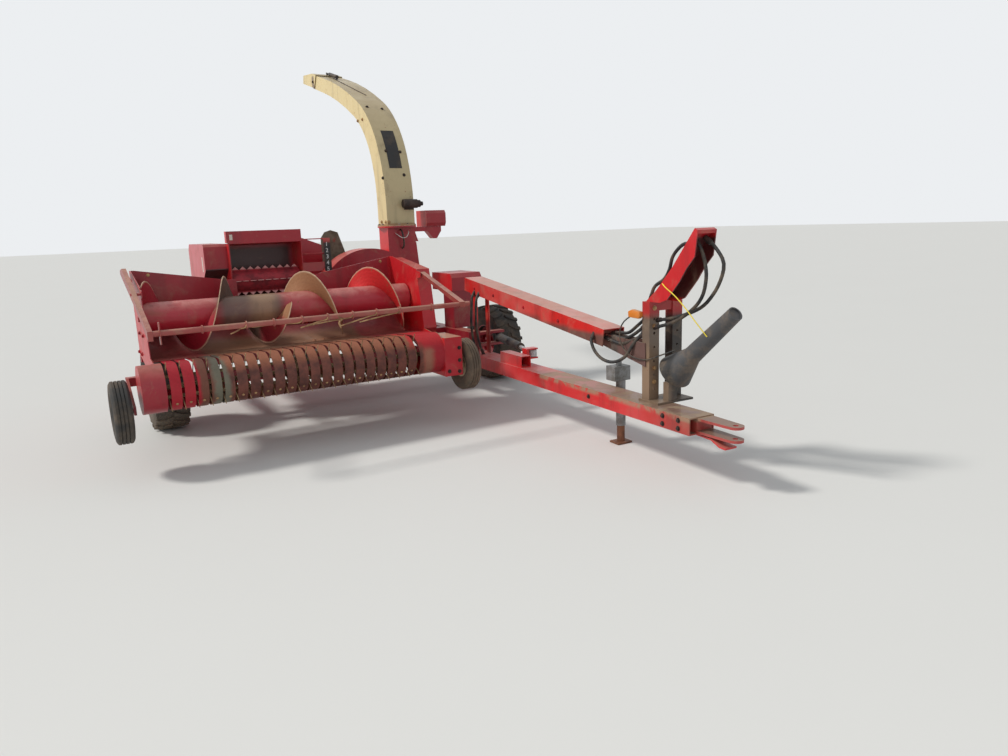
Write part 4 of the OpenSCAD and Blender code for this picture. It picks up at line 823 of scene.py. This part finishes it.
def tread_lug(side, tread_radius, half, height):
    """One slanting lug on the tread, bent round the tyre, on one side of its middle."""
    outline = [(0.004, -0.020), (half * 0.55, 0.016), (half, 0.030),
               (half, 0.062), (half * 0.5, 0.052), (0.004, 0.014)]
    piece = flat_plate([(side * x, y) for x, y in outline], height + 0.010, edge=0.003)
    for vertex in piece.data.vertices:
        radius = tread_radius - 0.010 + vertex.co.z
        if abs(vertex.co.x) > half * 0.8:
            radius -= 0.010
        turn = vertex.co.y / tread_radius
        vertex.co = (vertex.co.x, -radius * math.sin(turn), radius * math.cos(turn))
    return piece


class HARVESTER_OT_main_tyres(bpy.types.Operator):
    """Replace the two main tyres with lugged ones of the same size"""
    bl_idname = "harvester.main_tyres"
    bl_label = "Main Tyres"

    def execute(self, context):
        height = sizes().lug_height
        for side in ("left", "right"):
            centre, radius, width = node_wheel("tyre_" + side)
            inner = node_wheel("rim_" + side)[1] - 0.012
            half = width / 2
            tread = radius - height
            left_half = [(-half * 0.66, inner), (-half * 0.70, inner + 0.02), (-half * 0.92, inner + 0.07),
                         (-half, (inner + tread) / 2 + 0.01), (-half * 0.97, tread - 0.045),
                         (-half * 0.88, tread - 0.014), (-half * 0.5, tread - 0.002)]
            profile = left_half + [(0.0, tread)] + mirrored(left_half)
            pieces = [spun_ring(profile, centre, 64)]
            for way, lead in ((-1, 0), (1, 0.5)):
                lug = tread_lug(way, tread, half * 0.93, height)
                turns = [2 * math.pi * (k + lead) / LUGS_A_SIDE for k in range(LUGS_A_SIDE)]
                places = [Matrix.Translation(centre) @ Matrix.Rotation(turn, 4, "X") for turn in turns]
                pieces.append(copies(lug, places))
            tyre = settle(joined(pieces), "main_tyre_" + side, "tyre_worn", "wheel_" + side)
            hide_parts("tyre_" + side)
            rim = "rim_" + side
            low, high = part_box(rim)
            start = (low[0] - 0.05) if side == "left" else (high[0] + 0.05)
            way = RIGHT if side == "left" else LEFT
            hub = Vector((start, centre.y, centre.z))
            nuts = ring_places(hub, BEHIND, UP, NUT_CIRCLE, 6)
            bolts_on("wheel_nuts_" + side, rim, nuts, way, "wheel_" + side)
        return {"FINISHED"}


class HARVESTER_OT_gauge_tyres(bpy.types.Operator):
    """Replace the two gauge tyres with ribbed ones of the same size"""
    bl_idname = "harvester.gauge_tyres"
    bl_label = "Gauge Tyres"

    def execute(self, context):
        for side in ("left", "right"):
            centre, radius, width = node_wheel("gauge_tyre_" + side)
            inner = node_wheel("gauge_rim_" + side)[1] - 0.006
            half = width / 2
            shoulder = [(-half * 0.60, inner), (-half * 0.74, inner + 0.012), (-half * 0.97, inner + 0.045),
                        (-half, radius - 0.046), (-half * 0.94, radius - 0.020),
                        (-half * 0.80, radius - 0.006)]
            ribs = []
            for rib in range(4):
                start = -half * 0.72 + rib * half * 0.38
                ribs += [(start, radius - 0.001), (start + half * 0.26, radius),
                         (start + half * 0.28, radius - 0.008), (start + half * 0.36, radius - 0.008)]
            profile = shoulder + ribs[:-2] + mirrored(shoulder)
            finish = "tyre_dusty" if side == "right" else "tyre_worn"
            tyre = settle(spun_ring(profile, centre, 56), "gauge_tread_" + side, finish,
                          "gauge_wheel_" + side)
            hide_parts("gauge_tyre_" + side)
        return {"FINISHED"}


def turned_barrel(steps, sides):
    """A turned form about Z from rows of height and radius, with its ends closed."""
    clear()
    bpy.ops.mesh.primitive_circle_add(vertices=sides, radius=steps[0][1], fill_type="NGON",
                                      location=(0, 0, steps[0][0]))
    barrel = bpy.context.object
    bake(barrel)
    bpy.ops.object.mode_set(mode="EDIT")
    bpy.ops.mesh.select_all(action="SELECT")
    for (low, small), (high, large) in zip(steps, steps[1:]):
        bpy.ops.mesh.extrude_region_move(TRANSFORM_OT_translate={"value": (0, 0, high - low)})
        bpy.ops.transform.resize(value=(large / small, large / small, 1.0), center_override=(0, 0, high))
    bpy.ops.mesh.select_all(action="SELECT")
    bpy.ops.mesh.normals_make_consistent(inside=False)
    bpy.ops.object.mode_set(mode="OBJECT")
    return barrel


# Stripper bands: the middle of the first, their pitch and their number
BAND_FIRST = -0.959
BAND_PITCH = 0.085
BAND_COUNT = 21


class HARVESTER_OT_header_fittings(bpy.types.Operator):
    """Bolts of the header's drive box, end sheet, stripper bands and rear sheet"""
    bl_idname = "harvester.header_fittings"
    bl_label = "Header Fittings"

    def execute(self, context):
        box_places = ((1.155, 0.61), (1.155, 0.51), (1.060, 0.43), (1.150, 0.42))
        box_front = [site(x, -2.2, z) for x, z in box_places]
        bolts_on("box_bolts", "header_trough", box_front, BEHIND, "header", "steel_dark")
        plate_places = ((-0.60, 0.72), (-0.44, 0.72), (-0.44, 1.25), (-0.62, 1.10), (-0.82, 1.10),
                        (-0.62, 0.88), (-0.82, 0.88))
        end_plate = [site(-2.0, y, z) for y, z in plate_places]
        bolts_on("end_plate_bolts", "header_trough", end_plate, RIGHT, "header", "red_bolt")
        band_rows = [site(BAND_FIRST + BAND_PITCH * i, -2.2, 0.478) for i in range(BAND_COUNT)]
        bolts_on("band_bolts", "strippers", band_rows, BEHIND, "header", "steel_bent",
                 radius=0.0065)
        edge = [site(x, -1.2, z) for x, z in ((-0.93, 1.283), (0.93, 1.283))]
        bolts_on("sheet_bolts", "header_trough", edge, BEHIND, "header", "steel_bent",
                 radius=0.009)
        return {"FINISHED"}


# Rods clamped to the wind guard's bar: place along the bar, then the free end and its height
GUARD_RODS = [
    (-0.525, -0.625, 0.934),
    (-0.160, -0.486, 0.965),
    (0.018, -0.167, 0.928),
    (0.198, -0.137, 0.935),
    (0.376, 0.105, 0.911),
    (0.549, 0.253, 0.926),
    (0.086, 0.114, 0.900),
]


class HARVESTER_OT_guard_rods(bpy.types.Operator):
    """Bent rods that hang from the bar of the wind guard"""
    bl_idname = "harvester.guard_rods"
    bl_label = "Wind Guard Rods"

    def execute(self, context):
        rods = []
        for clamp, end, height in GUARD_RODS:
            lean = 0.014 if end < clamp else -0.014
            points = [site(clamp, -1.652, 0.994), site(clamp - lean, -1.660, 0.972),
                      site(clamp - 3 * lean, -1.640, 0.966),
                      site((clamp + end) / 2, -1.628, (0.966 + height) / 2 + 0.004),
                      site(end, -1.620, height)]
            rods.append(bent_rod(points, 0.0045, 18))
        settle(joined(rods), "guard_rods", "steel_bent", "wind_guard", smooth=60)
        return {"FINISHED"}


# Digits of the roll's scale
DIGIT_SIZE = 0.050
DIGIT_PITCH = 0.053


class HARVESTER_OT_throat_fittings(bpy.types.Operator):
    """Digits of the roll's scale, blank labels and the conveyor's back plate"""
    bl_idname = "harvester.throat_fittings"
    bl_label = "Throat Fittings"

    def execute(self, context):
        digits = []
        for k in range(5):
            clear()
            bpy.ops.object.text_add()
            digit = bpy.context.object
            digit.data.body = str(k + 1)
            digit.data.size = DIGIT_SIZE
            digit.data.align_x = "CENTER"
            digit.data.align_y = "CENTER"
            digit.data.extrude = 0.0004
            only(digit)
            bpy.ops.object.convert(target="MESH")
            digit = bpy.context.object
            face = landed("roll_scale_bar", site(0.533, -1.5, 1.446 - k * DIGIT_PITCH), BEHIND)
            digit.matrix_world = pointing(face + AHEAD * 0.0003, AHEAD, UP)
            bake(digit)
            digits.append(digit)
        settle(joined(digits), "scale_digits", "white_digit", "root", smooth=0)
        face = landed("feed_housing", site(-0.272, -1.5, 1.535), BEHIND)
        label = flat_plate(rectangle(0.024, 0.044), 0.0012, edge=0.0004)
        label.matrix_world = pointing(face, AHEAD, UP)
        settle(label, "fascia_label", "paint_label", "root", smooth=0)
        low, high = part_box("drive_shield_left")
        face = landed("drive_shield_left", Vector((low[0] - 0.5, low[1] + 0.09, high[2] - 0.16)), RIGHT)
        label = flat_plate(rectangle(0.028, 0.120), 0.0012, edge=0.0004)
        label.matrix_world = pointing(face, LEFT, UP)
        settle(label, "shield_label", "paint_label", "root", smooth=0)
        outline = [(0.300, 1.262), (0.700, 1.262), (0.700, 1.430), (0.520, 1.500), (0.300, 1.500)]
        back = flat_plate(outline, 0.004)
        back.matrix_world = Matrix.Translation(site(0, 0.440, 0)) @ Matrix.Rotation(math.radians(90), 4, "X")
        settle(back, "conveyor_back_plate", "paint_red", "root")
        return {"FINISHED"}


# Slope of the spout's mouth from upright
CAP_ANGLE = math.radians(74)

# Bolts and the seam of the spout, as pixels across and down the photo's frame
SPOUT_BOLT_PIXELS = [(367, 107), (382, 109), (386, 151), (400, 152), (404, 175), (383, 178)]
RUSTY_BOLT_PIXELS = [(358, 121), (362.5, 119.5), (382, 222), (386, 222), (389, 222)]
CAP_BOLT_PIXELS = [(313, 82)]
SEAM_PIXELS = [(333 + 33 * k / 5, 78.5 + 17 * k / 5) for k in range(6)]


class HARVESTER_OT_spout_fittings(bpy.types.Operator):
    """Blank panel, flange bolts, bracket, motor and cap actuator of the spout"""
    bl_idname = "harvester.spout_fittings"
    bl_label = "Spout Fittings"

    def execute(self, context):
        rows = [[landed("spout", site(x, -1.5, z), BEHIND) for x in (1.345, 1.475)]
                for z in (2.12, 2.18, 2.24, 2.30, 2.36, 2.42, 2.48)]
        strips = []
        for low, high in zip(rows, rows[1:]):
            corners = rectangle((low[1] - low[0]).length, (high[0] - low[0]).length)
            strip = flat_plate(corners, 0.0025, edge=0.0004)
            up = (high[0] - low[0]).normalized()
            out = up.cross(RIGHT).normalized()
            if out.y > 0:
                out = -out
            strip.matrix_world = pointing((low[0] + high[1]) / 2, out, up)
            strips.append(strip)
        settle(joined(strips), "spout_panel", "panel_black", "spout", smooth=0)
        bolts_seen("spout_bolts", "spout", SPOUT_BOLT_PIXELS, "spout", "steel_dark")
        bolts_seen("spout_rusty_bolts", "spout", RUSTY_BOLT_PIXELS, "spout", "steel_bent")
        bolts_seen("cap_bolt", "spout_cap", CAP_BOLT_PIXELS, "cap", "steel_dark")
        turret = site(1.410, 0.258, 1.9)
        ring = [turret + Vector((x, y, 0)) for x, y in ((0.165, 0.043), (0.165, -0.043), (-0.165, 0.043),
                                                        (-0.165, -0.043), (0.043, 0.160), (-0.043, 0.160),
                                                        (0.043, -0.160), (-0.043, -0.160))]
        bolts_on("turret_bolts", "spout", ring, DOWN, "spout", "steel_bolt", radius=0.010)
        seam = [seen_on("spout", *pixel)[0] for pixel in SEAM_PIXELS]
        settle(bent_rod(seam, 0.006, 16), "spout_seam", "steel_dark", "spout", smooth=60)
        steps = ((-0.095, 0.030), (-0.092, 0.042), (0.050, 0.042), (0.053, 0.034), (0.082, 0.034),
                 (0.085, 0.020), (0.110, 0.020))
        motor = turned_barrel(steps, 24)
        motor.matrix_world = pointing(site(1.515, 0.108, 1.785), RIGHT)
        holder = flat_plate([(-0.05, -0.055), (0.05, -0.055), (0.05, 0.045), (-0.05, 0.045)], 0.008,
                            edge=0.002)
        holder.matrix_world = pointing(site(1.50, 0.152, 1.785), AHEAD, UP)
        settle(joined([motor, holder]), "spout_turn_motor", "steel_dark", "spout")
        ahead = Vector((0.0, math.sin(CAP_ANGLE), math.cos(CAP_ANGLE)))
        above = Vector((0.0, -math.cos(CAP_ANGLE), math.sin(CAP_ANGLE)))
        tip = site(1.410, 1.953, 3.249)
        steps = ((-0.14, 0.010), (-0.138, 0.019), (0.10, 0.019), (0.103, 0.009), (0.20, 0.009))
        barrel = turned_barrel(steps, 20)
        barrel.matrix_world = pointing(tip - ahead * 0.22 + above * 0.030, ahead)
        pieces = [barrel]
        for foot, head, back in ((0.020, 0.014, 0.345), (0.016, 0.012, 0.035)):
            lug = flat_plate([(-foot, -0.006), (foot, -0.006), (head, 0.034), (-head, 0.034)], 0.012,
                             edge=0.002)
            lug.matrix_world = pointing(tip - ahead * back + RIGHT * 0.006, LEFT, above)
            pieces.append(lug)
        settle(joined(pieces), "cap_actuator", "cylinder_black", "spout")
        return {"FINISHED"}


class HARVESTER_OT_drawbar_fittings(bpy.types.Operator):
    """Bolts of the mast, shaft cover and hitch, and the bent plate under the hitch"""
    bl_idname = "harvester.drawbar_fittings"
    bl_label = "Drawbar Fittings"

    def execute(self, context):
        forward = beam_way(0, 1, 0)
        across = beam_way(1, 0, 0)
        post = [on_beam(0.040, -3.2, z) for z in (0.545, 0.635, 0.905, 1.02)]
        bolts_on("mast_bolts", "mast", post, forward, "drawbar", "steel_bent")
        cover_places = ((-2.05, 0.80), (-1.60, 0.855), (-1.10, 0.915), (-0.60, 0.975), (-0.25, 1.015))
        cover = [on_beam(-0.5, y, z) for y, z in cover_places]
        bolts_on("cover_bolts", "shaft_cover", cover, across, "drawbar", "red_bolt",
                 radius=0.009)
        beam_places = ((-2.78, 0.385), (-2.78, 0.335), (-2.92, 0.385), (-2.92, 0.335), (-2.0, 0.36))
        beam_side = [on_beam(-0.5, y, z) for y, z in beam_places]
        bolts_on("beam_bolts", "drawbar_beam", beam_side, across, "drawbar", "steel_dark")
        outline = [(0.02, 0.0), (-0.10, -0.004), (-0.17, -0.034), (-0.215, -0.036), (-0.215, -0.048),
                   (-0.165, -0.046), (-0.097, -0.016), (0.02, -0.012)]
        plate = flat_plate(outline, 0.090, edge=0.002)
        plate.matrix_world = pointing(on_beam(0.0, -3.015, 0.309), across, UP)
        settle(plate, "hitch_lower_plate", "paint_fitting", "drawbar")
        return {"FINISHED"}


# Hydraulic hoses at the mast, as places along their middle, from the throat, axle and ground
MAST_HOSES = {
    "hose_front": [
        (1.700, -3.490, 1.445), (1.700, -3.549, 1.405), (1.700, -3.618, 1.322), (1.700, -3.612, 1.239),
        (1.695, -3.558, 1.135), (1.690, -3.457, 1.041), (1.675, -3.277, 0.972), (1.665, -3.116, 0.940)],
    "hose_middle": [
        (1.655, -3.452, 1.440), (1.655, -3.492, 1.385), (1.655, -3.525, 1.300), (1.655, -3.533, 1.218),
        (1.655, -3.505, 1.116), (1.655, -3.425, 1.030), (1.650, -3.280, 0.945), (1.645, -3.116, 0.895)],
    "hose_back": [
        (1.660, -3.415, 1.425), (1.660, -3.335, 1.412), (1.660, -3.258, 1.345), (1.660, -3.228, 1.262),
        (1.660, -3.180, 1.200), (1.658, -3.100, 1.150), (1.655, -3.066, 1.068)],
    "hose_rear_left": [
        (1.656, -0.800, 0.985), (1.620, -0.812, 0.945), (1.606, -0.810, 0.830), (1.612, -0.790, 0.680),
        (1.640, -0.770, 0.520), (1.672, -0.760, 0.425)],
    "hose_rear_right": [
        (1.652, -0.880, 0.975), (1.614, -0.895, 0.925), (1.604, -0.890, 0.800), (1.625, -0.860, 0.650),
        (1.668, -0.830, 0.510), (1.705, -0.820, 0.425)],
    "bundle_low": [
        (1.600, -2.700, 0.785), (1.600, -2.760, 0.775), (1.605, -2.850, 0.765), (1.612, -2.950, 0.800),
        (1.625, -3.046, 0.845)],
    "bundle_middle": [
        (1.630, -2.700, 0.800), (1.628, -2.770, 0.800), (1.628, -2.860, 0.800), (1.630, -2.950, 0.840),
        (1.635, -3.046, 0.905)],
    "bundle_high": [
        (1.660, -2.700, 0.815), (1.660, -2.770, 0.825), (1.655, -2.860, 0.835), (1.650, -2.950, 0.890),
        (1.645, -3.046, 0.955)],
    "hose_cover": [
        (1.566, -2.600, 0.805), (1.535, -2.610, 0.770), (1.530, -2.655, 0.700), (1.535, -2.735, 0.652),
        (1.550, -2.830, 0.645), (1.570, -2.920, 0.690), (1.595, -2.980, 0.785), (1.640, -3.046, 0.880)],
}
MAST_CABLE = [(1.625, -3.046, 0.990), (1.600, -2.960, 0.965), (1.580, -2.880, 0.900), (1.572, -2.868, 0.800),
              (1.575, -2.945, 0.712), (1.590, -3.085, 0.690), (1.610, -3.215, 0.735), (1.650, -3.290, 0.770)]
SHIELD_TWINE = [(1.590, -3.270, 1.160), (1.592, -3.350, 1.112), (1.598, -3.430, 1.045),
                (1.610, -3.500, 0.970)]


class HARVESTER_OT_mast_hoses(bpy.types.Operator):
    """Hydraulic hoses, their end fittings, the cable and the twine at the mast"""
    bl_idname = "harvester.mast_hoses"
    bl_label = "Mast Hoses"

    def execute(self, context):
        diameter = sizes().hose_diameter
        fittings = []
        for name, points in MAST_HOSES.items():
            path = [site(*point) for point in points]
            free_cord(name, path, diameter, "drawbar")
            for place, inward in ((path[0], path[0] - path[1]), (path[-1], path[-1] - path[-2])):
                clear()
                bpy.ops.mesh.primitive_cylinder_add(vertices=12, radius=diameter * 0.66, depth=0.05)
                ferrule = bpy.context.object
                edit_faces(ferrule, lambda centre, normal: abs(normal.z) > 0.9)
                bpy.ops.mesh.inset(thickness=0.002, depth=0.0015)
                bpy.ops.object.mode_set(mode="OBJECT")
                ferrule.matrix_world = pointing(place - inward.normalized() * 0.012, inward)
                bake(ferrule)
                fittings.append(ferrule)
        settle(joined(fittings), "hose_fittings", "steel_dark", "drawbar", smooth=40)
        high = landed("spout_tower", site(1.395, -1.5, 1.545), BEHIND)
        low = landed("blower_housing", site(1.405, -1.5, 1.370), BEHIND)
        route = [high, high + Vector((-0.002, -0.040, -0.012)), high + Vector((0.0, -0.058, -0.055)),
                 low + Vector((0.0, -0.050, 0.055)), low + Vector((0.0, -0.035, 0.012)), low]
        free_cord("tower_hose", route, 0.016, "root", count=20)
        start = landed("spout_tower", site(1.345, -1.5, 1.510), BEHIND)
        stop = landed("spout_tower", site(1.475, -1.5, 1.530), BEHIND)
        route = [start, start + Vector((0.004, -0.035, -0.012)), start + Vector((0.035, -0.065, -0.040)),
                 start + Vector((0.080, -0.068, -0.036)), stop + Vector((-0.010, -0.040, -0.012)), stop]
        free_cord("tower_cable", route, 0.007, "root", finish="white_wire", count=24)
        free_cord("mast_cable", [site(*point) for point in MAST_CABLE], 0.009, "drawbar")
        knot = landed("mast_arm", site(1.2, -3.225, 1.180), RIGHT)
        tied = landed("shaft_shield", site(1.2, -3.560, 0.885), RIGHT)
        route = [knot] + [site(*point) for point in SHIELD_TWINE] + [tied]
        free_cord("shield_twine", route, 0.007, "drawbar",
                  finish="yellow_twine")
        outline = [(-0.055, -0.022), (0.040, -0.026), (0.058, -0.008), (0.052, 0.020), (-0.020, 0.030),
                   (-0.058, 0.016)]
        block = flat_plate(outline, 0.034, edge=0.006)
        block.matrix_world = pointing(site(1.612, -2.995, 0.975), LEFT, UP)
        settle(block, "mast_block", "paint_orange", "drawbar")
        return {"FINISHED"}


# Camera: focal length in pixels of the 1008 pixel wide photo, and how it is aimed, in degrees
PHOTO_WIDTH = 1008
PHOTO_HEIGHT = 756
FOCAL_PIXELS = 748.937
CAMERA_PLACE = (-1.626, -6.631)
CAMERA_AZIMUTH = 31.363
CAMERA_DOWN = 11.749
CAMERA_ROLL = -1.984
SENSOR_WIDTH = 36.0

# Sun and soft lamp: the way that the sun comes from, the lamp's place and what it is aimed at
SUN_WAY = Vector((-0.86, 0.42, 0.92))
SUN_STRENGTH = 2.2
FILL_PLACE = Vector((-4.5, -8.5, 5.0))
FILL_AIM = Vector((0, 0, 0.8))
FILL_WATTS = 115.0
FLOOR_SIZE = 160.0


def camera_matrix(height):
    azimuth = math.radians(CAMERA_AZIMUTH)
    down = math.radians(CAMERA_DOWN)
    roll = math.radians(CAMERA_ROLL)
    ahead = Vector((math.sin(azimuth) * math.cos(down), math.cos(azimuth) * math.cos(down), -math.sin(down)))
    level = Vector((math.cos(azimuth), -math.sin(azimuth), 0.0))
    up = level.cross(ahead)
    right = level * math.cos(roll) + up * math.sin(roll)
    top = up * math.cos(roll) - level * math.sin(roll)
    turn = Matrix((right, top, -ahead)).transposed().to_4x4()
    return Matrix.Translation(site(*CAMERA_PLACE, height)) @ turn


def floor_material():
    finish = Finish("floor_finish")
    grain = finish.noise(0.8, 3.0)
    tone = colours().floor[:]
    finish.colour(finish.mix(finish.times(grain, 0.15), tone, (0.62, 0.62, 0.60, 1.0)))
    finish.shader.inputs["Roughness"].default_value = 0.9
    return finish.material


def pale_world(scene):
    """Plain light from all round, and a paler tone where the camera or a reflection looks at it."""
    world = bpy.data.worlds.new("studio")
    world.use_nodes = True
    scene.world = world
    tree = world.node_tree
    tree.nodes.clear()
    out = tree.nodes.new("ShaderNodeOutputWorld")
    light = tree.nodes.new("ShaderNodeBackground")
    light.inputs["Color"].default_value = (0.92, 0.96, 1.0, 1.0)
    light.inputs["Strength"].default_value = 0.46
    seen = tree.nodes.new("ShaderNodeBackground")
    seen.inputs["Color"].default_value = (0.84, 0.86, 0.88, 1.0)
    seen.inputs["Strength"].default_value = 1.0
    path = tree.nodes.new("ShaderNodeLightPath")
    looking = path.outputs["Is Camera Ray"]
    for kind in ("Is Glossy Ray", "Is Transmission Ray"):
        either = tree.nodes.new("ShaderNodeMath")
        either.operation = "MAXIMUM"
        either.use_clamp = True
        tree.links.new(looking, either.inputs[0])
        tree.links.new(path.outputs[kind], either.inputs[1])
        looking = either.outputs[0]
    pick = tree.nodes.new("ShaderNodeMixShader")
    tree.links.new(looking, pick.inputs[0])
    tree.links.new(light.outputs[0], pick.inputs[1])
    tree.links.new(seen.outputs[0], pick.inputs[2])
    tree.links.new(pick.outputs[0], out.inputs["Surface"])


class HARVESTER_OT_stage(bpy.types.Operator):
    """Make the camera, the plain floor and the soft light"""
    bl_idname = "harvester.stage"
    bl_label = "Camera, Floor and Light"

    def execute(self, context):
        scene = context.scene
        scene.view_settings.view_transform = "Standard"
        bpy.ops.object.select_all(action="DESELECT")
        bpy.ops.object.camera_add()
        camera = context.object
        camera.name = "photo_camera"
        camera.data.sensor_width = SENSOR_WIDTH
        camera.data.lens = FOCAL_PIXELS * SENSOR_WIDTH / PHOTO_WIDTH
        camera.data.clip_end = 400.0
        camera.matrix_world = camera_matrix(scene.harvester_sizes.camera_height)
        scene.camera = camera
        bpy.ops.mesh.primitive_plane_add(size=FLOOR_SIZE, location=(0, 0, -0.002))
        floor = context.object
        floor.name = "floor"
        floor.data.materials.append(floor_material())
        bpy.ops.object.light_add(type="SUN", location=(-8, 6, 9))
        key = context.object
        key.name = "key_light"
        key.data.energy = SUN_STRENGTH
        key.data.angle = math.radians(9)
        key.data.color = (1.0, 0.97, 0.92)
        key.rotation_euler = SUN_WAY.to_track_quat("Z", "Y").to_euler()
        bpy.ops.object.light_add(type="AREA", location=FILL_PLACE)
        fill = context.object
        fill.name = "fill_light"
        fill.data.energy = FILL_WATTS
        fill.data.size = 6.0
        fill.rotation_euler = (FILL_PLACE - FILL_AIM).to_track_quat("Z", "Y").to_euler()
        pale_world(scene)
        return {"FINISHED"}


class HARVESTER_PT_panel(bpy.types.Panel):
    """Buttons for every group of pieces"""
    bl_idname = "HARVESTER_PT_panel"
    bl_label = "Forage Harvester"
    bl_space_type = "VIEW_3D"
    bl_region_type = "UI"
    bl_category = "Harvester"

    def draw(self, context):
        for operator in OPERATORS:
            self.layout.operator(operator.bl_idname)
        for group in (context.scene.harvester_colours, context.scene.harvester_sizes):
            for key in group.bl_rna.properties.keys():
                if key not in ("rna_type", "name"):
                    self.layout.prop(group, key)


OPERATORS = [
    HARVESTER_OT_stage,
    HARVESTER_OT_dress_frame,
    HARVESTER_OT_mast_hoses,
    HARVESTER_OT_main_tyres,
    HARVESTER_OT_gauge_tyres,
    HARVESTER_OT_header_fittings,
    HARVESTER_OT_guard_rods,
    HARVESTER_OT_throat_fittings,
    HARVESTER_OT_spout_fittings,
    HARVESTER_OT_drawbar_fittings,
]
CLASSES = [HarvesterColours, HarvesterSizes] + OPERATORS + [HARVESTER_PT_panel]


def register():
    for kind in CLASSES:
        bpy.utils.register_class(kind)
    bpy.types.Scene.harvester_colours = bpy.props.PointerProperty(type=HarvesterColours)
    bpy.types.Scene.harvester_sizes = bpy.props.PointerProperty(type=HarvesterSizes)


def unregister():
    del bpy.types.Scene.harvester_colours
    del bpy.types.Scene.harvester_sizes
    for kind in reversed(CLASSES):
        bpy.utils.unregister_class(kind)


def main():
    register()
    for operator in OPERATORS:
        group, name = operator.bl_idname.split(".")
        getattr(getattr(bpy.ops, group), name)()


if __name__ == "__main__":
    main()
